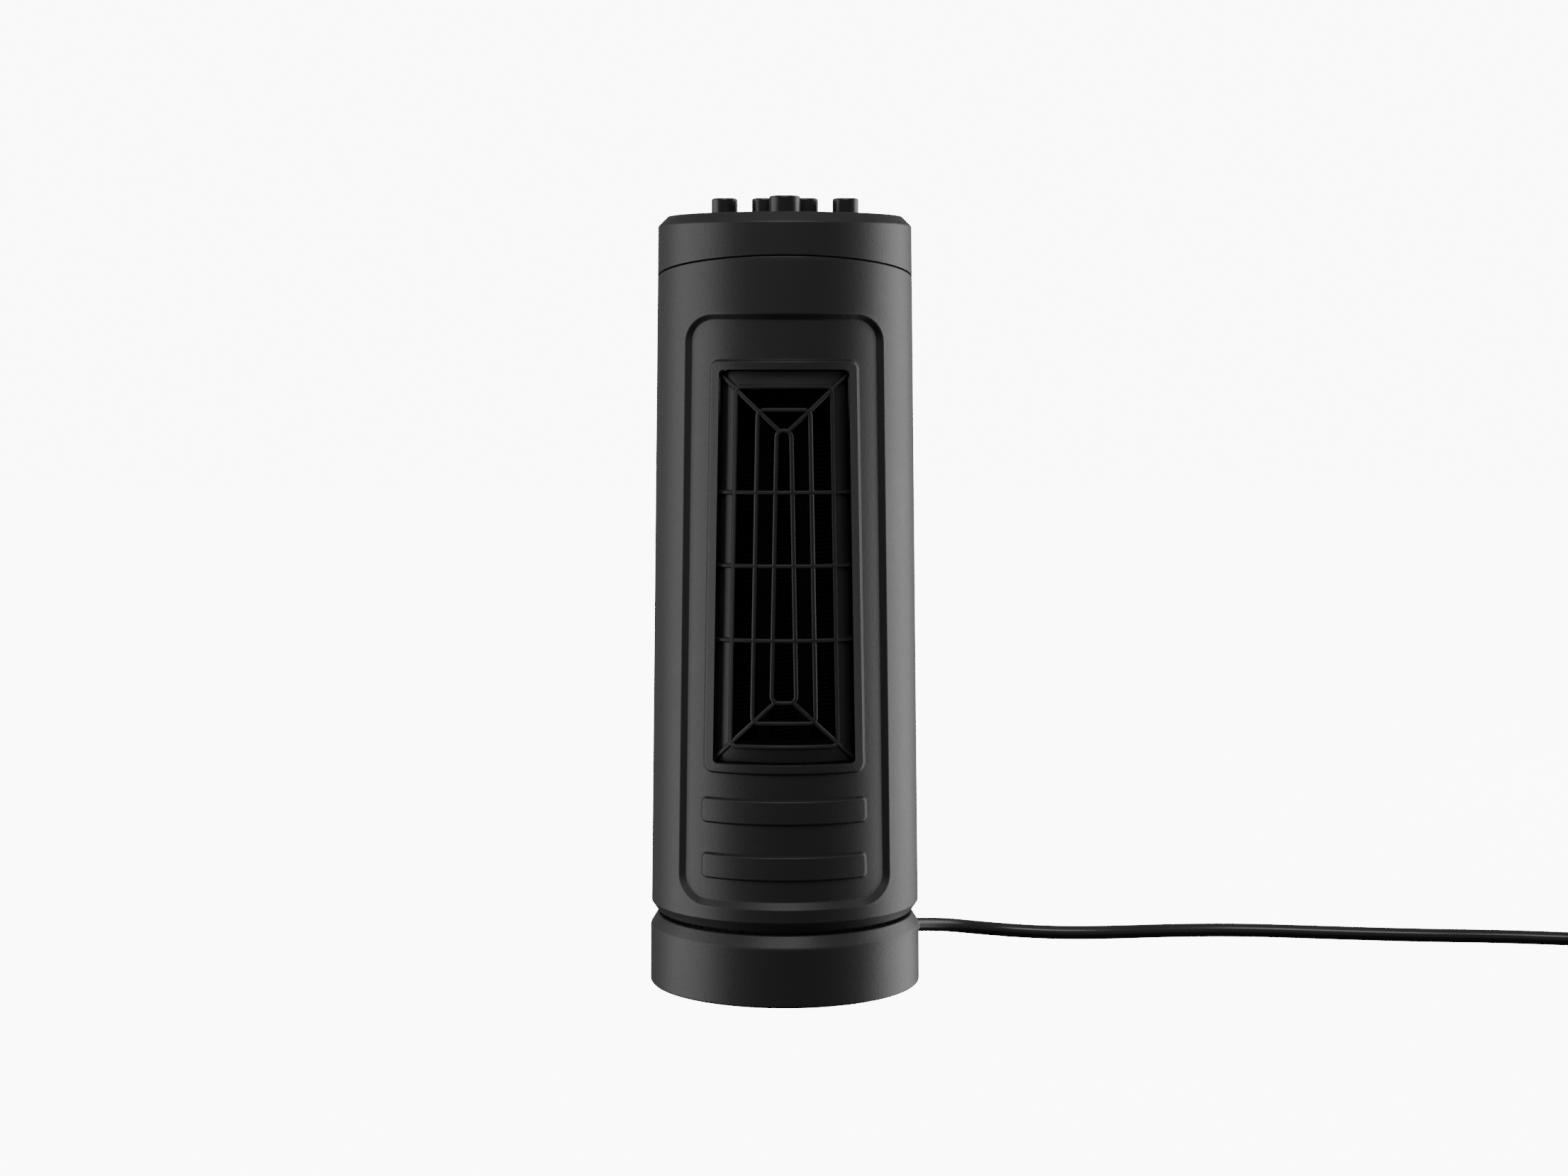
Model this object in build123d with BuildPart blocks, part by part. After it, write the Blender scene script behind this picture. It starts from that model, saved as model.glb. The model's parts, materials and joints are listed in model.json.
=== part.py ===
from build123d import *
import os
from math import cos, pi, radians, sin, sqrt, tan

os.makedirs("parts", exist_ok=True)

# A small oscillating tower heater. Millimetres, +Z up, the outlet faces -Y,
# the origin is on the floor at the middle of the base.

# ---------------------------------------------------------------- driving sizes
base_radius = 56.0           # foot of the base
base_height = 29.6           # top of the base shell
base_edge = 4.8              # height of the slope round the top of the base
wall = 2.4                   # moulded walls
foot_proud = 0.8             # how far the feet lift the base shell
swing_gap = 1.5              # slot between base and tower

tower_inset = 0.6            # tower stands this far inside the base
tower_top = 316.4            # flat top of the lid
draft = 0.0134               # radius lost per millimetre of height
tower_slope = 3.8            # height of the slope round the tower's foot
cap_slope = 4.0              # 45 degree edge round the lid
seam_drop = 24.9             # from the lid's top to its seam, on the swing axis
seam_tilt = 0.147            # the seam rises towards the front
seam_gap = 0.5
split_y = 6.0                # plane where front and rear housings meet
split_gap = 0.3

panel_depth = 2.0            # recessed front panel
panel_lift = 10.5            # panel above the foot of the tower
panel_drop = 16.5            # and below the seam
panel_half = 38.7            # half width of the panel at mid height
panel_flare = 0.0135         # the panel's sides spread less than the outlet's
panel_corner = 11.0
flare = 0.0175               # the other front outlines widen downwards by this slope
mid_height = 175.0           # height at which half widths are given
frame_lift = 52.4            # outlet's rim above the foot of the panel
frame_drop = 16.4            # and below its top
frame_half = 31.1
frame_width = 4.1            # rim round the outlet
frame_rise = 1.3             # rim stands above the panel
frame_depth = 5.3            # collar behind the rim
frame_corner = 4.0
opening_corner = 1.6         # inner corners of the rim
pad_half = 33.4
pad_height = 10.6
pad_lifts = (15.0, 37.4)     # middles of the two raised pads, above the panel's foot
pad_corner = 2.4
pad_rise = 1.3

rib = 1.8                    # width of the grille's ribs
rib_depth = 2.4
rib_set_back = 0.7           # ribs lie this far behind the panel surface
ring_halves = (20.2, 11.5, 3.9)
ring_lifts = (11.1, 20.5, 28.7)
ring_drops = (10.8, 19.9, 28.0)
ring_corners = (2.4, 2.6, 2.8)
bar_pitch = 29.35
funnel_depth = 2.0           # thickness of the flange behind the ribs

key_diameter = 10.7
key_pitch = 16.6
key_row_y = 10.0
knob_diameter = 12.6
knob_y = -10.0
key_rise = 8.0               # keys and knob stand above the lid
key_travel = 4.0
key_clearance = 0.35

swing_degrees = 35.0
crank_offset = 20.0          # from swing axis to crank axis
crank_radius = crank_offset * sin(radians(swing_degrees))
pin_radius = 2.0
pin_clearance = 0.8          # each side of the pin in its slot

wheel_y = 8.0                # axis of the cross-flow wheel
wheel_radius = 25.0
wheel_gap = 2.0              # wheel to duct
blade_count = 28
duct_margin = 2.0            # duct reaches below the outlet's rim
duct_headroom = 3.4          # and above it
duct_wall = 1.6
plate = 2.4                  # duct end plates
shaft_radius = 2.5
bearing_play = 0.05
fit = 0.3                    # clearance between pieces that are not a fit

motor_radius = 27.0
motor_length = 40.0
motor_gap = 10.0             # fan motor to duct

cord_diameter = 6.0
cord_exit_angle = 48.0       # direction of the exit, from +X towards +Y
gland_tail = 26.0            # flexible tail outside the base
coil_centre = (412.0, 98.0)
coil_radius = 30.0           # middle of the turns
turns_wide, turns_high = 3, 2
turn_play = 0.4
pin_spacing = 19.0           # plug pins

# ------------------------------------------------------------- worked out sizes
STAND = (Align.CENTER, Align.CENTER, Align.MIN)
coil_width = turns_wide * cord_diameter + turn_play
coil_depth = turns_high * cord_diameter + turn_play
tower_radius = base_radius - tower_inset              # just above the tower's lower slope
tower_low = base_height + swing_gap
seam_height = tower_top - seam_drop
skirt_low = seam_height - 13.0                        # below the seam all round
housing_high = seam_height + 12.0                     # above the seam all round
panel_low, panel_high = tower_low + panel_lift, seam_height - panel_drop
frame_low, frame_high = panel_low + frame_lift, panel_high - frame_drop
pad_levels = [panel_low + lift for lift in pad_lifts]
ring_lows = [frame_low + lift for lift in ring_lifts]
ring_highs = [frame_high - drop for drop in ring_drops]
bar_middle = (frame_low + frame_high) / 2 + 0.6
bar_levels = [bar_middle + step * bar_pitch for step in (-1, 0, 1)]
duct_low, duct_high = frame_low - duct_margin, frame_high + duct_headroom
motor_high = duct_low - motor_gap
motor_low = motor_high - motor_length
taper_start = tower_low + tower_slope
cap_edge_height = tower_top - cap_slope
deck_under = base_height - wall - 0.2
key_top = tower_top + key_rise
lid_under = tower_top - wall
deep = 120.0                 # longer than anything it cuts


def radius_at(height):
    return tower_radius - draft * (height - taper_start)


def tapered(low, high, half, corner, shrink=0.0, slope=flare):
    """Outline on the front plane: straight sides that spread downwards, round corners."""
    low, high, half = low + shrink, high - shrink, half - shrink
    half_low = half + slope * (mid_height - low)
    half_high = half + slope * (mid_height - high)
    with BuildSketch(Plane.XZ) as outline:
        with BuildLine():
            Polyline((-half_low, low), (half_low, low), (half_high, high), (-half_high, high), close=True)
        make_face()
        fillet(outline.vertices(), max(corner - shrink, 0.6))
    return outline.sketch


def skin(outer, inner, low, high):
    """Ring of the tower's taper, outer and inner set back from the outer surface."""
    with BuildPart() as ring:
        with BuildSketch(Plane.XZ):
            with BuildLine():
                Polyline(
                    (radius_at(low) - inner, low), (radius_at(low) - outer, low),
                    (radius_at(high) - outer, high), (radius_at(high) - inner, high), close=True,
                )
            make_face()
        revolve(axis=Axis.Z)
    return ring.part


def front_patch(outline, outer, inner):
    """The part of that ring that lies behind an outline on the front plane."""
    with BuildPart() as patch:
        add(skin(outer, inner, taper_start, cap_edge_height))
        extrude(outline, amount=deep, mode=Mode.INTERSECT)
    return patch.part


def floor_bosses(points):
    """Bosses for the screws through the swivel plate, each on a web to the wall."""
    low = tower_low + wall
    with BuildSketch(Plane.XY.offset(low)) as webs:
        for x, y in points:
            reach = radius_at(low) - wall - sqrt(x * x + y * y)
            with Locations(Plane(origin=(x, y, 0), x_dir=(x, y, 0)).location):
                Circle(housing_boss)
                with Locations((reach / 2, 0)):
                    Rectangle(reach, 3)
    extrude(webs.sketch, amount=12)
    with Locations((0, 0, low)):
        with Locations(*points):
            Cylinder(screw_radius + 0.1, 10, align=STAND, mode=Mode.SUBTRACT)


def finish(piece, name):
    piece.part.label = name
    export_step(piece.part, f"parts/{name}.step")


# ------------------------------------------------------------------------- base
boss_start = 20.0             # angle of the first of four
boss_circle = base_radius - 12.0
boss_radius = 3.6
screw_radius = 1.5
base_inner = base_radius - wall
neck_radius = 13.0
neck_bore = 8.5
bush_radius = neck_radius + 2.0
plate_low = 1.6
plate_high = plate_low + wall
gland_neck = 5.4
cord_exit_height = plate_high + gland_neck + 1.1     # gland's inner collar clears the plate
gland_plane = Plane(
    origin=(0, 0, cord_exit_height),
    x_dir=(-sin(radians(cord_exit_angle)), cos(radians(cord_exit_angle)), 0),
    z_dir=(cos(radians(cord_exit_angle)), sin(radians(cord_exit_angle)), 0),
)

with BuildPart() as base_shell:
    with BuildSketch(Plane.XZ):
        with BuildLine():
            Polyline(
                (base_inner, foot_proud), (base_radius - 0.6, foot_proud), (base_radius, foot_proud + 0.6),
                (base_radius - 0.2, base_height - base_edge), (base_radius - 3.2, base_height),
                (bush_radius + bearing_play, base_height), (bush_radius + bearing_play, deck_under),
                (base_inner - 3.4, deck_under), (base_inner - 0.2, deck_under - 3.4), close=True,
            )
        make_face()
    revolve(axis=Axis.Z)
    with Locations((0, 0, plate_high)):
        with PolarLocations(boss_circle, 4, boss_start):
            Cylinder(boss_radius, deck_under - plate_high, align=STAND)
            Cylinder(screw_radius + 0.1, 14, align=STAND, mode=Mode.SUBTRACT)
    with BuildSketch(gland_plane.offset(base_inner - 4)):
        Circle(gland_neck + 0.1)
    extrude(amount=base_radius, mode=Mode.SUBTRACT)
finish(base_shell, "base_shell")

feet_circle = base_radius - 15.0
foot_radius = 6.0
with BuildPart() as base_plate:
    with Locations((0, 0, plate_low)):
        Cylinder(base_inner - fit, wall, align=STAND)
        with PolarLocations(feet_circle, 4, 0):
            Cylinder(foot_radius + 0.2, 1.0, align=STAND, mode=Mode.SUBTRACT)
        with PolarLocations(boss_circle, 4, boss_start):
            Cylinder(screw_radius + 0.3, wall, align=STAND, mode=Mode.SUBTRACT)
            Cylinder(3.6, 1.2, align=STAND, mode=Mode.SUBTRACT)
finish(base_plate, "base_plate")

with BuildPart() as rubber_feet:
    with PolarLocations(feet_circle, 4, 0):
        Cylinder(foot_radius, plate_low + 1.0, align=STAND)
    chamfer(rubber_feet.edges().group_by(Axis.Z)[0], 0.5)
finish(rubber_feet, "rubber_feet")

with BuildPart() as base_screws:
    with Locations((0, 0, plate_low + 0.2)):
        with PolarLocations(boss_circle, 4, boss_start):
            Cylinder(3.2, 1.0, align=STAND)
            Cylinder(screw_radius, 12, align=STAND)
    with Locations((0, 0, plate_low + 0.2)):
        with PolarLocations(boss_circle, 4, boss_start):
            Box(4.2, 0.8, 0.6, align=STAND, mode=Mode.SUBTRACT)
            Box(0.8, 4.2, 0.6, align=STAND, mode=Mode.SUBTRACT)
finish(base_screws, "base_screws")

with BuildPart() as pivot_bush:
    with Locations((0, 0, deck_under)):
        Cylinder(bush_radius, base_height - deck_under, align=STAND)
    with Locations((0, 0, base_height)):
        Cylinder(bush_radius + 2.4, 0.8, align=STAND)
    with Locations((0, 0, deck_under)):
        Cylinder(neck_radius + bearing_play, wall * 2, align=STAND, mode=Mode.SUBTRACT)
finish(pivot_bush, "pivot_bush")

floor_radius = tower_radius - wall - tower_slope - fit
ring_outer = floor_radius - 3.9
ring_face = 13.0
with BuildPart() as slip_ring:
    with Locations((0, 0, base_height)):
        Cylinder(ring_outer, swing_gap - fit, align=STAND)
        Cylinder(ring_outer - ring_face, swing_gap - fit, align=STAND, mode=Mode.SUBTRACT)
finish(slip_ring, "slip_ring")

# --------------------------------------------------------------- swing mechanism
yoke_high = deck_under - fit
yoke_low = yoke_high - wall
crank_high = yoke_low - 0.8
crank_low = crank_high - 3.0
gear_motor_radius = 17.5
gear_motor_low = plate_high + fit
gear_motor_high = crank_low - 3.0
pin_reach = crank_offset + crank_radius              # pin's distance at rest
pin_near = sqrt(crank_offset**2 - crank_radius**2)    # and at the end of the swing
slot_half = pin_radius + pin_clearance

with BuildPart() as oscillation_motor:
    with Locations((0, -crank_offset, gear_motor_low)):
        Cylinder(gear_motor_radius, gear_motor_high - gear_motor_low, align=STAND)
        Box(gear_motor_radius * 2 + 14, 8, 1.2, align=STAND)
    with Locations((0, -crank_offset, gear_motor_high)):
        Cylinder(6, 2, align=STAND)
    with Locations((0, -crank_offset, gear_motor_high - 6)):
        Cylinder(shaft_radius + bearing_play, 12, align=STAND, mode=Mode.SUBTRACT)
    with Locations((0, -crank_offset, gear_motor_low)):
        with GridLocations(gear_motor_radius * 2 + 7, 0, 2, 1):
            Cylinder(screw_radius + 0.2, 1.2, align=STAND, mode=Mode.SUBTRACT)
finish(oscillation_motor, "oscillation_motor")

with BuildPart() as motor_screws:
    with Locations((0, -crank_offset, gear_motor_low + 1.2)):
        with GridLocations(gear_motor_radius * 2 + 7, 0, 2, 1):
            Cylinder(2.8, 1.6, align=STAND)
    with Locations((0, -crank_offset, gear_motor_low)):
        with GridLocations(gear_motor_radius * 2 + 7, 0, 2, 1):
            Cylinder(screw_radius, 1.2, align=STAND)
finish(motor_screws, "motor_screws")

with BuildPart() as crank_shaft:
    with Locations((0, -crank_offset, gear_motor_high - 5)):
        Cylinder(shaft_radius, crank_high - gear_motor_high + 5, align=STAND)
finish(crank_shaft, "crank_shaft")

with BuildPart() as crank:
    with Locations((0, -crank_offset, crank_low)):
        Cylinder(crank_radius + pin_radius + 2, crank_high - crank_low, align=STAND)
        Cylinder(shaft_radius, crank_high - crank_low, align=STAND, mode=Mode.SUBTRACT)
    with Locations((0, -pin_reach, crank_high)):
        Cylinder(pin_radius, yoke_high - crank_high - fit, align=STAND)
finish(crank, "crank")

yoke_tip = pin_reach + slot_half + 2.4
with BuildPart() as yoke_plate:
    with BuildSketch(Plane.XY.offset(yoke_low)):
        Circle(bush_radius + 4)
        with Locations((0, -yoke_tip / 2)):
            Rectangle(2 * slot_half + 7, yoke_tip)
        with Locations((0, -(pin_reach + pin_near) / 2)):
            SlotCenterToCenter(pin_reach - pin_near, 2 * slot_half, rotation=90, mode=Mode.SUBTRACT)
        Circle(neck_bore, mode=Mode.SUBTRACT)
        with PolarLocations((neck_radius + neck_bore) / 2, 3, 90):
            Circle(1.2, mode=Mode.SUBTRACT)
    extrude(amount=wall)
    with BuildSketch(Plane.XY.offset(yoke_low)):
        with PolarLocations((neck_radius + neck_bore) / 2, 3, 90):
            Circle(2.2)
    extrude(amount=1.0, mode=Mode.SUBTRACT)
finish(yoke_plate, "yoke_plate")

with BuildPart() as yoke_screws:
    with PolarLocations((neck_radius + neck_bore) / 2, 3, 90):
        with Locations((0, 0, yoke_low)):
            Cylinder(2.0, 1.0, align=STAND)
            Cylinder(1.1, wall + 6, align=STAND)
finish(yoke_screws, "yoke_screws")



def around(radius, *angles):
    """Points on a circle about the swing axis."""
    return [(radius * cos(radians(angle)), radius * sin(radians(angle))) for angle in angles]


post_points = around(floor_radius - 7.9, -45, 225) + around(floor_radius - 5.1, 62.9, 117.1)
floor_screw_points = around(floor_radius - 7.1, -16.7, 196.7, 39.3, 154.7)
with BuildPart() as swivel_plate:
    with Locations((0, 0, tower_low)):
        Cylinder(floor_radius, wall, align=STAND)
    with Locations((0, 0, yoke_high)):
        Cylinder(neck_radius, tower_low - yoke_high, align=STAND)
        Cylinder(neck_bore, tower_low - yoke_high + wall, align=STAND, mode=Mode.SUBTRACT)
        with PolarLocations((neck_radius + neck_bore) / 2, 3, 90):
            Cylinder(1.2, 6.2, align=STAND, mode=Mode.SUBTRACT)
    with Locations((0, 0, tower_low + wall)):
        with Locations(*post_points):
            Cylinder(3.5, duct_low - plate - tower_low - wall, align=STAND)
    with Locations((0, 0, tower_low)):
        with Locations(*floor_screw_points):
            Cylinder(screw_radius + 0.2, wall, align=STAND, mode=Mode.SUBTRACT)
            Cylinder(3.4, 1.2, align=STAND, mode=Mode.SUBTRACT)
finish(swivel_plate, "swivel_plate")

with BuildPart() as floor_screws:
    with Locations(*floor_screw_points):
        with Locations((0, 0, tower_low + 0.2)):
            Cylinder(3.0, 1.0, align=STAND)
            Cylinder(screw_radius, 10, align=STAND)
finish(floor_screws, "floor_screws")

# --------------------------------------------------------------- tower housings
housing_boss = 4.0
top_screw_drop = 21.5         # below the seam, clear of the duct's upper plate
foot_screw_lift = 18.9
housing_screw_levels = (tower_low + foot_screw_lift, (tower_low + seam_height) / 2 + 3, seam_height - top_screw_drop)
housing_screw_x = radius_at(housing_screw_levels[2]) - wall - housing_boss - 2.85
rear_boss_length = sqrt((radius_at(housing_screw_levels[2]) - wall) ** 2 - housing_screw_x**2) - split_y
screw_head_y = split_y + 15.0
foot_edge = tower_radius - tower_slope * 0.6          # radius under the tower's lower slope
seam_plane = Plane(origin=(0, 0, seam_height - seam_gap / 2), x_dir=(1, 0, 0), z_dir=(0, seam_tilt, 1))
lid_plane = Plane(origin=(0, 0, seam_height + seam_gap / 2), x_dir=(1, 0, 0), z_dir=(0, seam_tilt, 1))
front_face = Plane.XZ.offset(-split_y + split_gap / 2)
rear_face = Plane.XZ.offset(-split_y - split_gap / 2)

with BuildPart() as housing:
    with BuildSketch(Plane.XZ):
        with BuildLine():
            Polyline(
                (foot_edge, tower_low), (tower_radius, taper_start), (radius_at(housing_high), housing_high),
                (radius_at(housing_high) - wall, housing_high), (tower_radius - wall, taper_start),
                (foot_edge - wall, tower_low), close=True,
            )
        make_face()
    revolve(axis=Axis.Z)
    split(bisect_by=seam_plane, keep=Keep.BOTTOM)

panel_outline = tapered(panel_low, panel_high, panel_half, panel_corner, slope=panel_flare)
backing_outline = tapered(panel_low, panel_high, panel_half, panel_corner, shrink=-3, slope=panel_flare)
frame_outline = tapered(frame_low, frame_high, frame_half, frame_corner)
opening_outline = tapered(frame_low, frame_high, frame_half, opening_corner + frame_width, shrink=frame_width)
frame_top = panel_depth - frame_rise

with BuildPart() as front_housing:
    add(housing.part)
    split(bisect_by=front_face, keep=Keep.TOP)
    add(front_patch(backing_outline, panel_depth, panel_depth + wall))
    add(front_patch(panel_outline, -deep / 10, panel_depth), mode=Mode.SUBTRACT)
    add(front_patch(frame_outline, frame_top, panel_depth + frame_depth))
    add(front_patch(opening_outline, -deep / 10, deep / 6), mode=Mode.SUBTRACT)
    for level in pad_levels:
        pad_outline = tapered(
            level - pad_height / 2, level + pad_height / 2, pad_half - flare * (mid_height - level), pad_corner
        )
        add(front_patch(pad_outline, panel_depth - pad_rise, panel_depth + 0.5))
    with BuildSketch(front_face):
        for side in (-1, 1):
            for level in housing_screw_levels:
                with Locations((side * housing_screw_x, level)):
                    Circle(housing_boss)
                web = radius_at(level) - wall * 0.7 - housing_screw_x
                with Locations((side * (housing_screw_x + web / 2), level)):
                    Rectangle(web, 2.0)
    extrude(amount=14)
    with BuildSketch(front_face):
        for side in (-1, 1):
            for level in housing_screw_levels:
                with Locations((side * housing_screw_x, level)):
                    Circle(screw_radius + 0.1)
    extrude(amount=12, mode=Mode.SUBTRACT)
    floor_bosses(floor_screw_points[:2])
finish(front_housing, "front_housing")

slot_pitch = 7.0
slot_height = 3.2
slot_length = 13.5
slot_step = 15.5
slot_rows = int((duct_high - duct_low) / slot_pitch)
with BuildPart() as rear_housing:
    add(housing.part)
    split(bisect_by=rear_face, keep=Keep.BOTTOM)
    with BuildSketch(Plane.XZ):
        with Locations((0, (duct_low + duct_high) / 2)):
            with GridLocations(slot_step, slot_pitch, 4, slot_rows):
                SlotOverall(slot_length, slot_height)
    extrude(amount=-deep, mode=Mode.SUBTRACT)
    with BuildSketch(rear_face):
        for side in (-1, 1):
            for level in housing_screw_levels:
                with Locations((side * housing_screw_x, level)):
                    Circle(housing_boss)
    extrude(amount=-rear_boss_length)
    for radius, plane in ((screw_radius + 0.2, rear_face), (3.3, Plane.XZ.offset(-screw_head_y))):
        with BuildSketch(plane):
            for side in (-1, 1):
                for level in housing_screw_levels:
                    with Locations((side * housing_screw_x, level)):
                        Circle(radius)
        extrude(amount=-deep, mode=Mode.SUBTRACT)
    floor_bosses(floor_screw_points[2:])
finish(rear_housing, "rear_housing")

with BuildPart() as housing_screws:
    for side in (-1, 1):
        for level in housing_screw_levels:
            with BuildSketch(Plane.XZ.offset(-screw_head_y)):
                with Locations((side * housing_screw_x, level)):
                    Circle(3.0)
            extrude(amount=-2.0)
            with BuildSketch(Plane.XZ.offset(-screw_head_y)):
                with Locations((side * housing_screw_x, level)):
                    Circle(screw_radius)
            extrude(amount=screw_head_y + 3)
finish(housing_screws, "housing_screws")

# ---------------------------------------------------------------- outlet grille
rib_face = panel_depth + rib_set_back
grille_fit = 0.3
grille_outline = tapered(frame_low, frame_high, frame_half, opening_corner + frame_width, frame_width + grille_fit)


def ring_outline(index, shrink):
    return tapered(ring_lows[index], ring_highs[index], ring_halves[index], ring_corners[index], shrink)


def half_at(half, height):
    return half + flare * (mid_height - height)


grille_half = frame_half - frame_width - grille_fit
grille_low = frame_low + frame_width + grille_fit
grille_high = frame_high - frame_width - grille_fit
with BuildSketch(Plane.XZ) as ribs:
    for ring in range(3):
        add(ring_outline(ring, -rib / 2))
        add(ring_outline(ring, rib / 2), mode=Mode.SUBTRACT)
with BuildSketch(Plane.XZ) as bars:
    for level in bar_levels:
        with Locations((0, level)):
            Rectangle(2 * half_at(grille_half, level), rib)
    for side in (-1, 1):
        for end, ring_end in ((grille_low, ring_lows[2]), (grille_high, ring_highs[2])):
            with BuildLine() as spoke:
                Line(
                    (side * (half_at(grille_half, end) - 1), end + (1 if end < mid_height else -1)),
                    (side * half_at(ring_halves[2] - 1, ring_end), ring_end),
                )
            trace(spoke.line, line_width=rib)

with BuildPart() as outlet_grille:
    add(skin(rib_face, rib_face + rib_depth, taper_start, cap_edge_height))
    extrude(ribs.sketch + bars.sketch, amount=deep, mode=Mode.INTERSECT)
    flange = grille_outline - ring_outline(0, 0)
    add(front_patch(flange, rib_face + rib_depth - 0.4, rib_face + rib_depth + funnel_depth))
finish(outlet_grille, "outlet_grille")

# ---------------------------------------------------------------- lid and keys
collar_wall = 1.6
collar_low = lid_under - 4.4
key_points = [((place - 1.5) * key_pitch, key_row_y) for place in range(4)]
bracket_points = [(36, -18), (-36, -18), (36, 22), (-36, 22)]
bracket_high = lid_under - 28.0
bracket_low = bracket_high - 2.0
flange_height = 1.4
lip_inset = wall + 0.3
lip_wall = 1.2
lip_high = housing_high + 3.0

with BuildPart() as cap_lip:
    with BuildSketch(Plane.XZ):
        with BuildLine():
            Polyline(
                (radius_at(skirt_low) - lip_inset - lip_wall, skirt_low),
                (radius_at(skirt_low) - lip_inset, skirt_low), (radius_at(housing_high) - lip_inset, housing_high),
                (radius_at(housing_high) - wall + 0.6, housing_high), (radius_at(lip_high) - wall + 0.6, lip_high),
                (radius_at(lip_high) - lip_inset - lip_wall, lip_high), close=True,
            )
        make_face()
    revolve(axis=Axis.Z)
    split(bisect_by=seam_plane.offset(-3), keep=Keep.TOP)

with BuildPart() as top_cap:
    with BuildSketch(Plane.XZ):
        with BuildLine():
            Polyline(
                (0, lid_under), (radius_at(lid_under) - wall - 2, lid_under),
                (radius_at(cap_edge_height) - wall, cap_edge_height - 2), (radius_at(skirt_low) - wall, skirt_low),
                (radius_at(skirt_low), skirt_low), (radius_at(cap_edge_height), cap_edge_height),
                (radius_at(cap_edge_height) - cap_slope, tower_top), (0, tower_top), close=True,
            )
        make_face()
    revolve(axis=Axis.Z)
    split(bisect_by=lid_plane, keep=Keep.TOP)
    add(cap_lip.part)
    with Locations((0, 0, collar_low)):
        with Locations(*key_points):
            Cylinder(key_diameter / 2 + key_clearance + collar_wall, lid_under - collar_low, align=STAND)
        with Locations((0, knob_y)):
            Cylinder(knob_diameter / 2 + key_clearance + collar_wall, lid_under - collar_low, align=STAND)
    with Locations((0, 0, bracket_high)):
        with Locations(*bracket_points):
            Cylinder(housing_boss, lid_under - bracket_high, align=STAND)
            Cylinder(screw_radius + 0.1, 12, align=STAND, mode=Mode.SUBTRACT)
    with Locations((0, 0, collar_low)):
        with Locations(*key_points):
            Cylinder(key_diameter / 2 + key_clearance, deep, align=STAND, mode=Mode.SUBTRACT)
        with Locations((0, knob_y)):
            Cylinder(knob_diameter / 2 + key_clearance, deep, align=STAND, mode=Mode.SUBTRACT)
finish(top_cap, "top_cap")

stem_radius = 1.6
stem_foot = 8.0              # the stem's flange inside the switch, below the switch's top
block_height = 17.0
block_low = bracket_high
block_high = block_low + block_height


def press_key(name, diameter, x, y):
    """Push key with a catch flange under its collar and a stem into its switch."""
    foot = collar_low - fit - flange_height
    with BuildPart() as key:
        with Locations((x, y, foot)):
            Cylinder(diameter / 2, key_top - foot, align=STAND)
        fillet(key.edges().sort_by(Axis.Z)[-1], 0.9)
        with Locations((x, y, foot)):
            Cylinder(diameter / 2 + key_clearance + 0.9, flange_height, align=STAND)
        with Locations((x, y, block_high - stem_foot)):
            Cylinder(stem_radius, foot - block_high + stem_foot, align=STAND)
            Cylinder(stem_radius + 1, 2.0, align=STAND)
    finish(key, name)


for place, (x, y) in enumerate(key_points, start=1):
    press_key(f"key_{place}", key_diameter, x, y)
press_key("swing_knob", knob_diameter, 0, knob_y)

with BuildPart() as key_switch_block:
    with Locations((0, key_row_y, block_low)):
        Box(4 * key_pitch, 14, block_height, align=STAND)
    with Locations((0, 0, block_high - stem_foot - key_travel - 1)):
        with Locations(*key_points):
            Cylinder(stem_radius + 1 + fit, deep, align=STAND, mode=Mode.SUBTRACT)
finish(key_switch_block, "key_switch_block")

with BuildPart() as swing_switch:
    with Locations((0, knob_y, block_low)):
        Box(16, 12, block_height, align=STAND)
    with Locations((0, knob_y, block_high - stem_foot - key_travel - 1)):
        Cylinder(stem_radius + 1 + fit, deep, align=STAND, mode=Mode.SUBTRACT)
finish(swing_switch, "swing_switch")

with BuildPart() as switch_bracket:
    with Locations((0, 1, bracket_low)):
        Box(84, 52, 2.0, align=STAND)
    with Locations((0, 0, bracket_low)):
        with Locations(*bracket_points):
            Cylinder(screw_radius + 0.2, 2, align=STAND, mode=Mode.SUBTRACT)
        with Locations((0, 0), (-22, -14), (22, -14)):
            Box(12, 5, 2, align=STAND, mode=Mode.SUBTRACT)
    outer = switch_bracket.edges().filter_by(Axis.Z).group_by(Axis.X)
    fillet(outer[0] + outer[-1], 6)
finish(switch_bracket, "switch_bracket")

with BuildPart() as bracket_screws:
    with Locations((0, 0, bracket_low - 1.6)):
        with Locations(*bracket_points):
            Cylinder(3.0, 1.6, align=STAND)
            Cylinder(screw_radius, 11, align=STAND)
finish(bracket_screws, "bracket_screws")

# ------------------------------------------------------------- blower and duct
outlet_half = grille_half - 1.8
duct_reach = radius_at(duct_high) - rib_face - rib_depth - funnel_depth - fit     # inside the grille
duct_front = -sqrt(duct_reach**2 - (outlet_half + duct_wall / 2) ** 2)
duct_back = wheel_y + wheel_radius + wheel_gap
scroll_reach = wheel_radius + 6
boss_spots = {
    "scroll": [(-scroll_reach - 2.5, wheel_y - 12), (4 - scroll_reach, wheel_y + 23)],
    "tongue": [(wheel_radius + 5.5, wheel_y - 9.5)],
}
loom_x, loom_y = -33.0, 33.0


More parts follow.
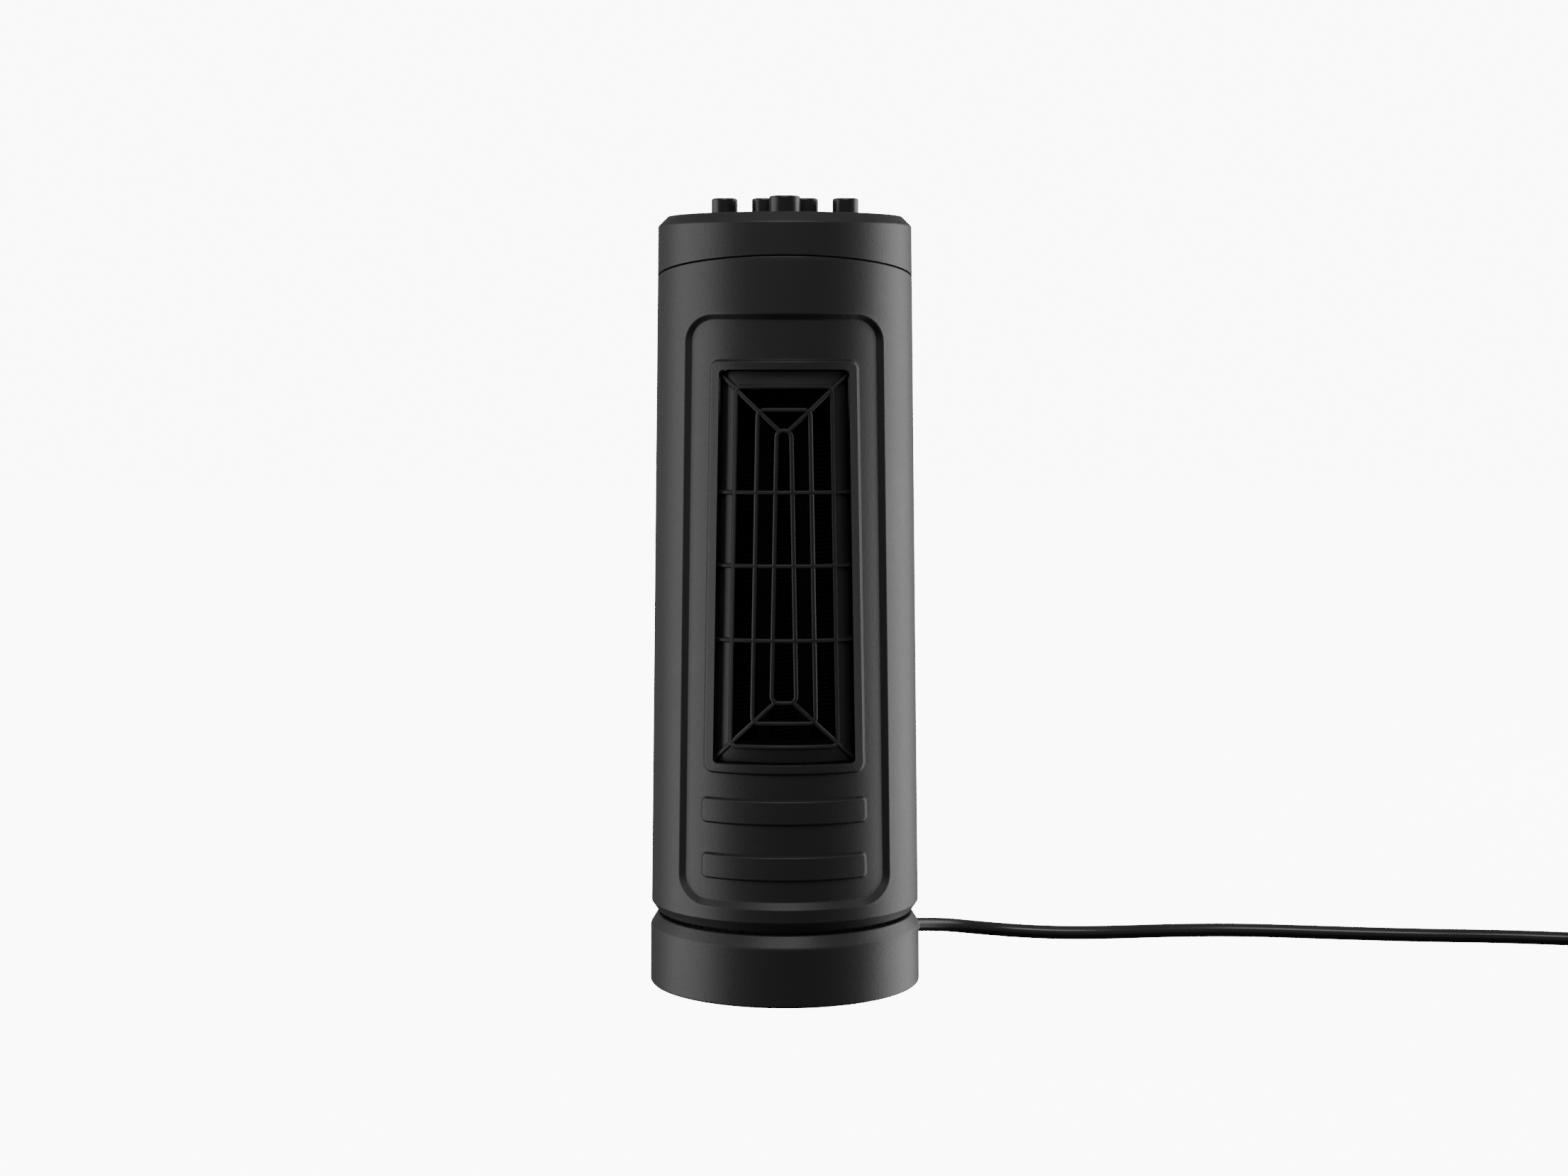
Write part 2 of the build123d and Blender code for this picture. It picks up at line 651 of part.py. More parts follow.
def duct_side(name, points, corners, spots):
    """Bent wall of the duct, full height, with bosses for the end plates' screws."""
    with BuildPart() as side:
        with BuildSketch(Plane.XY.offset(duct_low)):
            with BuildLine() as path:
                FilletPolyline(*points, radius=corners)
            trace(path.line, line_width=duct_wall)
            with Locations(*spots):
                Circle(2.6)
            with Locations(*spots):
                Circle(1.3, mode=Mode.SUBTRACT)
        extrude(amount=duct_high - duct_low)
    finish(side, name)


duct_side(
    "scroll_wall",
    [(-outlet_half, duct_front), (-outlet_half - 1, duct_front + 15), (-scroll_reach, wheel_y - 10),
     (-scroll_reach, wheel_y + 14), (5 - wheel_radius, duct_back), (13 - wheel_radius, duct_back + 3)],
    6, boss_spots["scroll"],
)
duct_side(
    "tongue_wall",
    [(outlet_half, duct_front), (outlet_half, duct_front + 15), (wheel_radius - 5.5, wheel_y - wheel_radius + 4.5),
     (wheel_radius + 8, wheel_y - 9)],
    2, boss_spots["tongue"],
)

plate_radius = radius_at(duct_high) - wall - 4.0
motor_ear_circle = 20.0


def end_plate(name, low, hub, extra):
    with BuildPart() as end:
        with BuildSketch(Plane.XY.offset(low)):
            Circle(plate_radius)
            with Locations((0, duct_front - 13)):
                Rectangle(2 * plate_radius, 24, mode=Mode.SUBTRACT)
            with Locations((0, wheel_y)):
                Circle(hub, mode=Mode.SUBTRACT)
            with Locations((loom_x, loom_y)):
                Circle(4.4, mode=Mode.SUBTRACT)
            with Locations(*boss_spots["scroll"], *boss_spots["tongue"]):
                Circle(1.5, mode=Mode.SUBTRACT)
            if extra:
                with Locations((0, wheel_y)):
                    with PolarLocations(motor_ear_circle, 3, 90):
                        Circle(1.5, mode=Mode.SUBTRACT)
        extrude(amount=plate)
    finish(end, name)


bush_outer = 6.0
end_plate("lower_end_plate", duct_low - plate, shaft_radius + 2.5, True)
end_plate("upper_end_plate", duct_high, bush_outer, False)

head_height = 1.2
with BuildPart() as duct_screws:
    for head_low, shank_low in ((duct_low - plate - head_height, duct_low - plate), (duct_high + plate, duct_high - 6)):
        with Locations((0, 0, head_low)):
            with Locations(*boss_spots["scroll"], *boss_spots["tongue"]):
                Cylinder(2.3, head_height, align=STAND)
        with Locations((0, 0, shank_low)):
            with Locations(*boss_spots["scroll"], *boss_spots["tongue"]):
                Cylinder(1.2, 6 + plate, align=STAND)
finish(duct_screws, "duct_screws")

wheel_low = duct_low + 3
wheel_high = duct_high - 4
disc = 2.0
with BuildPart() as crossflow_wheel:
    for low in (wheel_low, (wheel_low + wheel_high) / 2, wheel_high - disc):
        with Locations((0, wheel_y, low)):
            Cylinder(wheel_radius, disc, align=STAND)
    with BuildSketch(Plane.XY.offset(wheel_low)):
        with Locations((0, wheel_y)):
            with PolarLocations(wheel_radius - 3.6, blade_count):
                Rectangle(6.0, 1.0, rotation=35)
    extrude(amount=wheel_high - wheel_low)
    with Locations((0, wheel_y, (wheel_low + wheel_high) / 2)):
        Cylinder(wheel_radius - 6.6, disc, align=STAND)
        Cylinder(wheel_radius - 8.6, disc, align=STAND, mode=Mode.SUBTRACT)
    with Locations((0, wheel_y, wheel_low)):
        Cylinder(8.0, 12, align=STAND)
        Cylinder(6.0, 12, align=STAND, mode=Mode.SUBTRACT)
    with Locations((0, wheel_y, wheel_high - 10)):
        Cylinder(5.0, 10, align=STAND)
        Cylinder(2.0, 10, align=STAND, mode=Mode.SUBTRACT)
finish(crossflow_wheel, "crossflow_wheel")

with BuildPart() as wheel_coupling:
    with Locations((0, wheel_y, wheel_low)):
        Cylinder(6.0, 12, align=STAND)
        Cylinder(shaft_radius, 12, align=STAND, mode=Mode.SUBTRACT)
finish(wheel_coupling, "wheel_coupling")

with BuildPart() as wheel_axle:
    with Locations((0, wheel_y, wheel_high - 10)):
        Cylinder(2.0, duct_high + plate + 1 - wheel_high + 10, align=STAND)
finish(wheel_axle, "wheel_axle")

with BuildPart() as upper_bush:
    with Locations((0, wheel_y, duct_high)):
        Cylinder(bush_outer, plate, align=STAND)
    with Locations((0, wheel_y, duct_high + plate)):
        Cylinder(bush_outer + 2, 1.6, align=STAND)
    with Locations((0, wheel_y, duct_high)):
        Cylinder(2.0 + bearing_play, deep, align=STAND, mode=Mode.SUBTRACT)
finish(upper_bush, "upper_bush")

# ------------------------------------------------------------------- fan motor
shield = 2.0
rotor_radius = 14.0
air_gap = 0.5
stack_low, stack_high = motor_low + 10, motor_high - 10

with BuildPart() as motor_lower_shield:
    with Locations((0, wheel_y, motor_low)):
        Cylinder(motor_radius, stack_low - motor_low, align=STAND)
    with Locations((0, wheel_y, motor_low + shield)):
        Cylinder(motor_radius - shield, deep, align=STAND, mode=Mode.SUBTRACT)
    with Locations((0, wheel_y, motor_low)):
        Cylinder(6, 6, align=STAND)
        Cylinder(shaft_radius + bearing_play, 6, align=STAND, mode=Mode.SUBTRACT)
finish(motor_lower_shield, "motor_lower_shield")

with BuildPart() as motor_upper_shield:
    with Locations((0, wheel_y, stack_high)):
        Cylinder(motor_radius, motor_high - stack_high, align=STAND)
        Cylinder(motor_radius - shield, motor_high - stack_high - shield, align=STAND, mode=Mode.SUBTRACT)
    with Locations((0, wheel_y, motor_high - 6)):
        Cylinder(6, 6, align=STAND)
    with Locations((0, wheel_y, motor_high)):
        with PolarLocations(motor_ear_circle, 3, 90):
            Cylinder(3.6, duct_low - plate - motor_high, align=STAND)
    with Locations((0, wheel_y, motor_high - 2)):
        with PolarLocations(motor_ear_circle, 3, 90):
            Cylinder(1.3, deep, align=STAND, mode=Mode.SUBTRACT)
    with Locations((0, wheel_y, motor_high - 6)):
        Cylinder(shaft_radius + bearing_play, 6, align=STAND, mode=Mode.SUBTRACT)
finish(motor_upper_shield, "motor_upper_shield")

with BuildPart() as motor_stator:
    with BuildSketch(Plane.XY.offset(stack_low)):
        with Locations((0, wheel_y)):
            Circle(motor_radius)
            Circle(motor_radius - 4, mode=Mode.SUBTRACT)
            with PolarLocations(motor_radius - 7, 8):
                Rectangle(11, 4.0)
            Circle(rotor_radius + air_gap, mode=Mode.SUBTRACT)
    extrude(amount=stack_high - stack_low)
finish(motor_stator, "motor_stator")

with BuildPart() as motor_windings:
    for low in (stack_low - 5.2, stack_high + 0.2):
        with Locations((0, wheel_y, low)):
            Cylinder(motor_radius - shield - 1, 5, align=STAND)
            Cylinder(rotor_radius + 2, 5, align=STAND, mode=Mode.SUBTRACT)
    fillet(motor_windings.edges(), 1.6)
finish(motor_windings, "motor_windings")

with BuildPart() as motor_rotor:
    with Locations((0, wheel_y, stack_low - 1)):
        Cylinder(rotor_radius, stack_high - stack_low + 2, align=STAND)
        Cylinder(shaft_radius, stack_high - stack_low + 2, align=STAND, mode=Mode.SUBTRACT)
finish(motor_rotor, "motor_rotor")

with BuildPart() as motor_shaft:
    with Locations((0, wheel_y, motor_low - 2)):
        Cylinder(shaft_radius, wheel_low + 11 - motor_low + 2, align=STAND)
finish(motor_shaft, "motor_shaft")

with BuildPart() as fan_motor_screws:
    with Locations((0, wheel_y, 0)):
        with PolarLocations(motor_ear_circle, 3, 90):
            with Locations((0, 0, duct_low)):
                Cylinder(2.4, 1.2, align=STAND)
            with Locations((0, 0, duct_low - plate - 6)):
                Cylinder(1.2, plate + 6, align=STAND)
finish(fan_motor_screws, "fan_motor_screws")

# ---------------------------------------------------------------- heating pack
heater_depth = 11.0
heater_y = duct_front + 1 + heater_depth / 2
heater_half = outlet_half - duct_wall / 2 - 0.6
heater_low, heater_high = duct_low + 6, duct_high - 16
end_block = 8.0
stone = 3.0
fin_strip = (2 * heater_half - 2 * stone) / 3
fin_pitch = 3.4
strip_low, strip_high = heater_low + end_block, heater_high - end_block

with BuildPart() as heater_frame:
    for low in (heater_low, strip_high):
        with Locations((0, heater_y, low)):
            Box(2 * heater_half, heater_depth, end_block, align=STAND)
finish(heater_frame, "heater_frame")

with BuildPart() as ptc_stones:
    for side in (-1, 1):
        with Locations((side * (fin_strip + stone) / 2, heater_y, strip_low)):
            Box(stone, heater_depth - 2, strip_high - strip_low, align=STAND)
finish(ptc_stones, "ptc_stones")

fin_rows = int((strip_high - strip_low - 3) / fin_pitch)
with BuildPart() as heater_fins:
    with Locations((0, heater_y, strip_low)):
        with GridLocations(fin_strip + stone, 0, 3, 1):
            Box(fin_strip, heater_depth, strip_high - strip_low, align=STAND)
    with BuildSketch(Plane.XZ):
        with Locations((0, (strip_low + strip_high) / 2)):
            with GridLocations(fin_strip + stone, fin_pitch, 3, fin_rows):
                Rectangle(fin_strip - 2.4, fin_pitch - 1.0)
    extrude(amount=deep, mode=Mode.SUBTRACT)
finish(heater_fins, "heater_fins")

cutout_radius = 6.4
with BuildPart() as thermal_cutout:
    with Locations((-heater_half / 2, heater_y, heater_high)):
        Box(5, 6, 3.0, align=STAND)
    with BuildSketch(Plane.XZ.offset(-heater_y - 3)):
        with Locations((-heater_half / 2, heater_high + 1 + cutout_radius)):
            Circle(cutout_radius)
    extrude(amount=6)
finish(thermal_cutout, "thermal_cutout")

with BuildPart() as thermal_fuse:
    with BuildSketch(Plane.YZ.offset(heater_half / 2 - 6)):
        with Locations((heater_y, heater_high + 2.2)):
            Circle(2.0)
    extrude(amount=12)
finish(thermal_fuse, "thermal_fuse")

# ------------------------------------------------------- switches and terminals
with BuildPart() as tilt_switch:
    with Locations((floor_radius - 11.4, 0, tower_low + wall)):
        Box(10, 13, 12, align=STAND)
        Box(12.8, 5, 4, align=STAND)
finish(tilt_switch, "tilt_switch")

with BuildPart() as terminal_block:
    with Locations((0, 26, plate_high)):
        Box(26, 11, 10, align=STAND)
    with Locations((0, 26, plate_high + 3)):
        with GridLocations(8, 0, 3, 1):
            Cylinder(2.0, 10, align=STAND, mode=Mode.SUBTRACT)
finish(terminal_block, "terminal_block")

loom_low = plate_high + 12
with BuildPart() as wiring_loom:
    with BuildLine():
        FilletPolyline(
            (0, 0, loom_low), (0, 0, tower_low + 5), (-18, -24, tower_low + 8), (-38, 2, motor_low + 18),
            (loom_x - 3, 26, duct_low - 14), (loom_x, loom_y, duct_low), (loom_x, loom_y, duct_high + 6),
            (-22, 24, duct_high + 14), (-22, 15, bracket_low - 5), radius=2.5,
        )
    with BuildSketch(Plane.XY.offset(loom_low)):
        Circle(2.4)
    sweep()
finish(wiring_loom, "wiring_loom")

# --------------------------------------------------------------- lead and plug
gland_start = base_radius + bearing_play
gland_flange = 1.6
exit_x, exit_y = cos(radians(cord_exit_angle)), sin(radians(cord_exit_angle))
tail_end = gland_start + gland_flange + gland_tail
cord_radius = cord_diameter / 2
floor = cord_radius

with BuildPart() as cord_gland:
    with BuildSketch(gland_plane.offset(base_inner - 3.4)):
        Circle(gland_neck + 1)
    extrude(amount=2.6)
    with BuildSketch(gland_plane.offset(base_inner - 3.4)):
        Circle(gland_neck)
    extrude(amount=gland_start - base_inner + 3.4)
    with BuildSketch(gland_plane.offset(gland_start)):
        Circle(gland_neck + 1.2)
    extrude(amount=gland_flange)
    with BuildSketch(gland_plane.offset(gland_start + gland_flange)):
        Circle(gland_neck)
    with BuildSketch(gland_plane.offset(tail_end)):
        Circle(cord_radius + 0.9)
    loft()
    with BuildSketch(gland_plane.offset(base_inner - 3.4)):
        Circle(cord_radius)
    extrude(amount=tail_end, mode=Mode.SUBTRACT)
finish(cord_gland, "cord_gland")

tail_point = (tail_end * exit_x, tail_end * exit_y, cord_exit_height)
cord_route = [
    tail_point, (68.5, 72.6, 8.6), (83, 80.4, 5.6), (101, 82.6, 3.6), (122, 80.6, floor), (146, 81.8, floor),
    (173, 86.4, floor), (205, 87.6, floor), (241, 82, floor), (279, 76.6, floor), (317, 75.4, floor),
    (353, 70.6, floor), (388, 68, floor),
]


def tube(name, route, section):
    """Straight runs joined by the widest tangent arcs that the runs allow."""
    spots = [Vector(point) for point in route]
    runs = [after - before for before, after in zip(spots, spots[1:])]
    turns = [radians(before.get_angle(after)) for before, after in zip(runs, runs[1:])]
    radii = [
        0.45 * min(before.length, after.length) / tan(turn / 2)
        for before, after, turn in zip(runs, runs[1:], turns)
    ]
    print(name, "smallest arc", round(min(radii), 1), "longest run", round(max(run.length for run in runs), 1))
    with BuildPart() as pipe:
        with BuildLine() as path:
            FilletPolyline(*route, radius=radii)
        with BuildSketch(Plane(origin=spots[0], z_dir=runs[0])):
            Circle(section)
        sweep()
    length = path.wire().length
    print(name, "length", round(length, 1), "volume share", round(pipe.part.volume / (pi * section**2 * length), 4))
    finish(pipe, name)


tube("power_cord", cord_route, cord_radius)

coil_x, coil_y = coil_centre
coil_axis = Axis((coil_x, coil_y, 0), (0, 0, 1))
with BuildPart() as cord_coil:
    with BuildSketch(Plane(origin=(coil_x, coil_y, 0), x_dir=(1, 0, 0), z_dir=(0, -1, 0))):
        with Locations((coil_radius, coil_depth / 2)):
            RectangleRounded(coil_width, coil_depth, cord_radius)
    revolve(axis=coil_axis)
finish(cord_coil, "cord_coil")

tie_width, tie_strap = 7.0, 1.4
with BuildPart() as cord_tie:
    with BuildSketch(Plane(
        origin=(coil_x + coil_radius, coil_y - tie_width / 2, 0), x_dir=(1, 0, 0), z_dir=(0, -1, 0)
    )):
        with Locations((0, coil_depth / 2 + tie_strap / 4)):
            RectangleRounded(coil_width + 2 * tie_strap, coil_depth + tie_strap / 2, cord_radius)
            Rectangle(coil_width - 1.6, coil_depth - 1.2, mode=Mode.SUBTRACT)
    extrude(amount=-tie_width)
finish(cord_tie, "cord_tie")

plug_length, plug_width, plug_height = 42.0, 36.0, 15.6
plug_point = (coil_x + 62, coil_y - coil_radius - 1.4, plug_height / 2)
tube(
    "cord_tail",
    [(coil_x + 24, coil_y - coil_radius, floor), (coil_x + 36, coil_y - coil_radius - 0.6, floor + 0.6),
     (coil_x + 49, coil_y - coil_radius - 1.2, floor + 3), plug_point],
    cord_radius,
)

plug_plane = Plane(origin=plug_point, x_dir=(0, 1, 0), z_dir=(1, 0, 0))
with BuildPart() as plug_body:
    for reach, width, height, corner in ((0, 11, 11, 5), (16, 13, 12, 5.5), (24, plug_width - 4, 14.6, 6)):
        with BuildSketch(plug_plane.offset(reach)):
            RectangleRounded(width, height, corner)
    loft()
    with BuildSketch(plug_plane.offset(24)):
        RectangleRounded(plug_width - 4, 14.6, 6)
    with BuildSketch(plug_plane.offset(plug_length)):
        RectangleRounded(plug_width, plug_height, 6)
    loft()
finish(plug_body, "plug_body")

with BuildPart() as plug_pins:
    with BuildSketch(plug_plane.offset(plug_length)):
        with GridLocations(pin_spacing, 0, 2, 1):
            Circle(2.4)
    extrude(amount=19)
    fillet(plug_pins.edges().group_by(Axis.X)[-1], 1.6)
finish(plug_pins, "plug_pins")
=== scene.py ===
import json
import math
import bpy
import bmesh
import numpy as np
from mathutils import Matrix, Vector


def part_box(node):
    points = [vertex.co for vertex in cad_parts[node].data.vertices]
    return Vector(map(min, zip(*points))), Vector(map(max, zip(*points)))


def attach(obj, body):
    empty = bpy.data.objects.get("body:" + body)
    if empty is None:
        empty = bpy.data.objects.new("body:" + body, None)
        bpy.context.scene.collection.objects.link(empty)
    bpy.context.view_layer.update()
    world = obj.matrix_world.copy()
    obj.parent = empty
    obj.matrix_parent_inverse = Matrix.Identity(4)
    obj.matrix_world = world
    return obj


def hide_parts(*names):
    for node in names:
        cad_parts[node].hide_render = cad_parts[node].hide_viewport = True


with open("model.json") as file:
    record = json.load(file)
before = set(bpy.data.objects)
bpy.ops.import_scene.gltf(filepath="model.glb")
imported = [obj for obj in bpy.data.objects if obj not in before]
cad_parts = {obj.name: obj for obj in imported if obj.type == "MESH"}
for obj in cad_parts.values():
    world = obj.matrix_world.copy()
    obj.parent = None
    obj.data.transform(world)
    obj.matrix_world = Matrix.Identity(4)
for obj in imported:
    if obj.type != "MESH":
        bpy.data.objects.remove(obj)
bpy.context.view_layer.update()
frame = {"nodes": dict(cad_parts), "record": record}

mm = 0.001
print("frame loaded", len(frame["nodes"]), "nodes")

# shape of the tower and its base, in millimetres; each piece keeps its own values beside its code
tower = {
    "radius": 55.4, "taperStart": 34.9, "draft": 0.0134, "foot": 31.1, "footRadius": 53.12,
    "top": 316.4, "capSlope": 4.0, "wall": 2.4, "split": 6.0,
    "seam": 291.5, "seamTilt": 0.147, "seamGap": 0.5, "flare": 0.0175, "middle": 175.0,
}


def radiusAt(height):
    return tower["radius"] - tower["draft"] * (height - tower["taperStart"])


# camera
view = {"distance": 1.154, "height": 0.263, "tilt": 4.89, "turn": 0.4, "aside": -0.00035}
camera = bpy.data.cameras.new("studioCamera")
camera.lens = 64.37
camera.sensor_width = 36
camera.clip_end = 20
cameraObject = bpy.data.objects.new("studioCamera", camera)
viewTurn = math.radians(view["turn"])
cameraObject.location = (view["distance"] * math.sin(viewTurn) + view["aside"],
                         -view["distance"] * math.cos(viewTurn), view["height"])
cameraObject.rotation_euler = (math.radians(90 - view["tilt"]), 0, viewTurn)
bpy.context.scene.collection.objects.link(cameraObject)
bpy.context.scene.camera = cameraObject
print("camera set")


# shader node groups
def newGroup(name, inputs, outputs):
    group = bpy.data.node_groups.new(name, "ShaderNodeTree")
    for label, kind, value in inputs:
        socket = group.interface.new_socket(label, in_out="INPUT", socket_type=kind)
        socket.default_value = value
    for label, kind in outputs:
        group.interface.new_socket(label, in_out="OUTPUT", socket_type=kind)
    return group, group.nodes.new("NodeGroupInput"), group.nodes.new("NodeGroupOutput")


def add(tree, kind, **settings):
    node = tree.nodes.new(kind)
    for key, value in settings.items():
        if key in node.bl_rna.properties:
            setattr(node, key, value)
        else:
            node.inputs[key].default_value = value
    return node


def linksIn(tree):
    return lambda source, output, target, entry: tree.links.new(source.outputs[output], target.inputs[entry])


def makeGrain():
    # spark-eroded mould texture: fine bumps broken up by slightly larger ones
    group, start, end = newGroup(
        "mouldGrain",
        [("Vector", "NodeSocketVector", (0, 0, 0)), ("Scale", "NodeSocketFloat", 1800.0),
         ("Coarse", "NodeSocketFloat", 0.35)],
        [("Height", "NodeSocketFloat"), ("Speckle", "NodeSocketFloat")],
    )
    fine = add(group, "ShaderNodeTexNoise", Detail=2.0, Roughness=0.6)
    cells = add(group, "ShaderNodeTexVoronoi")
    ratio = add(group, "ShaderNodeMath", operation="MULTIPLY")
    ratio.inputs[1].default_value = 0.45     # cells are about twice the size of the fine grain
    blend = add(group, "ShaderNodeMix")
    link = linksIn(group)
    link(start, "Vector", fine, "Vector")
    link(start, "Vector", cells, "Vector")
    link(start, "Scale", fine, "Scale")
    link(start, "Scale", ratio, 0)
    link(ratio, 0, cells, "Scale")
    link(start, "Coarse", blend, "Factor")
    link(fine, "Fac", blend, "A")
    link(cells, "Distance", blend, "B")
    link(blend, "Result", end, "Height")
    link(fine, "Fac", end, "Speckle")
    return group


def makeDrift():
    # slow change of tone over a moulding, with faint hand marks
    group, start, end = newGroup(
        "surfaceDrift",
        [("Vector", "NodeSocketVector", (0, 0, 0)), ("Scale", "NodeSocketFloat", 14.0),
         ("Smudges", "NodeSocketFloat", 0.4)],
        [("Tone", "NodeSocketFloat"), ("Smudge", "NodeSocketFloat")],
    )
    slow = add(group, "ShaderNodeTexNoise", Detail=3.0, Roughness=0.55)
    marks = add(group, "ShaderNodeTexNoise", Detail=5.0, Roughness=0.7, Distortion=0.8)
    faster = add(group, "ShaderNodeMath", operation="MULTIPLY")
    faster.inputs[1].default_value = 3.2     # marks are finer than the drift of tone
    ramp = add(group, "ShaderNodeMapRange", clamp=True)
    ramp.inputs["From Min"].default_value = 0.52
    ramp.inputs["From Max"].default_value = 0.75
    amount = add(group, "ShaderNodeMath", operation="MULTIPLY")
    link = linksIn(group)
    link(start, "Vector", slow, "Vector")
    link(start, "Vector", marks, "Vector")
    link(start, "Scale", slow, "Scale")
    link(start, "Scale", faster, 0)
    link(faster, 0, marks, "Scale")
    link(marks, "Fac", ramp, "Value")
    link(ramp, "Result", amount, 0)
    link(start, "Smudges", amount, 1)
    link(slow, "Fac", end, "Tone")
    link(amount, 0, end, "Smudge")
    return group


def makePaintedEdgeSheen():
    # painted edge highlight: sharp convex edges, found by pointiness and broken up by the tone drift, are given a
    # paler colour
    group, start, end = newGroup(
        "edgeWear",
        [("Amount", "NodeSocketFloat", 0.3), ("Break", "NodeSocketFloat", 0.5)],
        [("Mask", "NodeSocketFloat")],
    )
    shape = add(group, "ShaderNodeNewGeometry")
    ramp = add(group, "ShaderNodeMapRange", clamp=True)
    ramp.inputs["From Min"].default_value = 0.51
    ramp.inputs["From Max"].default_value = 0.58
    broken = add(group, "ShaderNodeMath", operation="MULTIPLY")
    strength = add(group, "ShaderNodeMath", operation="MULTIPLY")
    link = linksIn(group)
    link(shape, "Pointiness", ramp, "Value")
    link(ramp, "Result", broken, 0)
    link(start, "Break", broken, 1)
    link(broken, 0, strength, 0)
    link(start, "Amount", strength, 1)
    link(strength, 0, end, "Mask")
    return group


def makeBrush():
    # drawn or rolled metal: long streaks along one axis
    group, start, end = newGroup(
        "drawnStreaks",
        [("Vector", "NodeSocketVector", (0, 0, 0)), ("Scale", "NodeSocketFloat", 900.0),
         ("Stretch", "NodeSocketVector", (1, 1, 0.04))],
        [("Height", "NodeSocketFloat")],
    )
    turn = add(group, "ShaderNodeVectorMath", operation="MULTIPLY")
    noise = add(group, "ShaderNodeTexNoise", Detail=3.0, Roughness=0.65)
    link = linksIn(group)
    link(start, "Vector", turn, 0)
    link(start, "Stretch", turn, 1)
    link(turn, "Vector", noise, "Vector")
    link(start, "Scale", noise, "Scale")
    link(noise, "Fac", end, "Height")
    return group


grainGroup, driftGroup, edgeSheenGroup, brushGroup = makeGrain(), makeDrift(), makePaintedEdgeSheen(), makeBrush()


def place(tree, group, **values):
    node = tree.nodes.new("ShaderNodeGroup")
    node.node_tree = group
    for key, value in values.items():
        node.inputs[key].default_value = value
    return node


# the gain and lift make the painted edge highlight paler than each finish's tint
surface = {"wornGain": 1.8, "wornLift": 0.01, "smudgeGloss": -0.12, "ior": 1.5, "coatRoughness": 0.2}


def finishOf(name, base, tint, roughness, spread=0.05, metallic=0.0, grain=1800.0, coarse=0.35, depth=0.00006,
             strength=0.35, drift=14.0, smudges=0.4, wear=0.2, coat=0.0, specular=0.5, streaks=None):
    # one moulded, metal or rubber finish
    material = bpy.data.materials.new(name)
    material.use_nodes = True
    tree = material.node_tree
    shader = tree.nodes["Principled BSDF"]
    where = tree.nodes.new("ShaderNodeTexCoord").outputs["Object"]
    grainNode = place(tree, grainGroup, Scale=grain, Coarse=coarse)
    driftNode = place(tree, driftGroup, Scale=drift, Smudges=smudges)
    # mask of the painted edge highlight: pointiness picks out the sharp edges to be painted paler
    edgeSheenNode = place(tree, edgeSheenGroup, Amount=wear)
    link = tree.links.new
    link(where, grainNode.inputs["Vector"])
    link(where, driftNode.inputs["Vector"])
    link(driftNode.outputs["Tone"], edgeSheenNode.inputs["Break"])

    tones = add(tree, "ShaderNodeMix", data_type="RGBA")
    tones.inputs["A"].default_value = (*base, 1)
    tones.inputs["B"].default_value = (*tint, 1)
    link(driftNode.outputs["Tone"], tones.inputs["Factor"])
    # painted edge highlight: a paler copy of the tint is mixed into the colour on sharp edges
    sheenedEdges = add(tree, "ShaderNodeMix", data_type="RGBA")
    sheenedEdges.inputs["B"].default_value = (
        *[min(1, c * surface["wornGain"] + surface["wornLift"]) for c in tint], 1)
    link(tones.outputs["Result"], sheenedEdges.inputs["A"])
    link(edgeSheenNode.outputs["Mask"], sheenedEdges.inputs["Factor"])
    link(sheenedEdges.outputs["Result"], shader.inputs["Base Color"])

    rough = add(tree, "ShaderNodeMapRange")
    rough.inputs["To Min"].default_value = roughness - spread
    rough.inputs["To Max"].default_value = roughness + spread
    link(grainNode.outputs["Speckle"], rough.inputs["Value"])
    smear = add(tree, "ShaderNodeMath", operation="MULTIPLY_ADD", use_clamp=True)
    smear.inputs[1].default_value = surface["smudgeGloss"]
    link(driftNode.outputs["Smudge"], smear.inputs[0])
    link(rough.outputs["Result"], smear.inputs[2])
    link(smear.outputs[0], shader.inputs["Roughness"])

    bump = add(tree, "ShaderNodeBump")
    bump.inputs["Strength"].default_value = strength
    bump.inputs["Distance"].default_value = depth
    height = grainNode.outputs["Height"]
    if streaks:
        brushNode = place(tree, brushGroup, Stretch=streaks)
        link(where, brushNode.inputs["Vector"])
        both = add(tree, "ShaderNodeMath", operation="ADD")
        link(height, both.inputs[0])
        link(brushNode.outputs["Height"], both.inputs[1])
        height = both.outputs[0]
    link(height, bump.inputs["Height"])
    link(bump.outputs["Normal"], shader.inputs["Normal"])
    shader.inputs["Metallic"].default_value = metallic
    shader.inputs["IOR"].default_value = surface["ior"]
    shader.inputs["Specular IOR Level"].default_value = specular
    shader.inputs["Coat Weight"].default_value = coat
    shader.inputs["Coat Roughness"].default_value = surface["coatRoughness"]
    return material
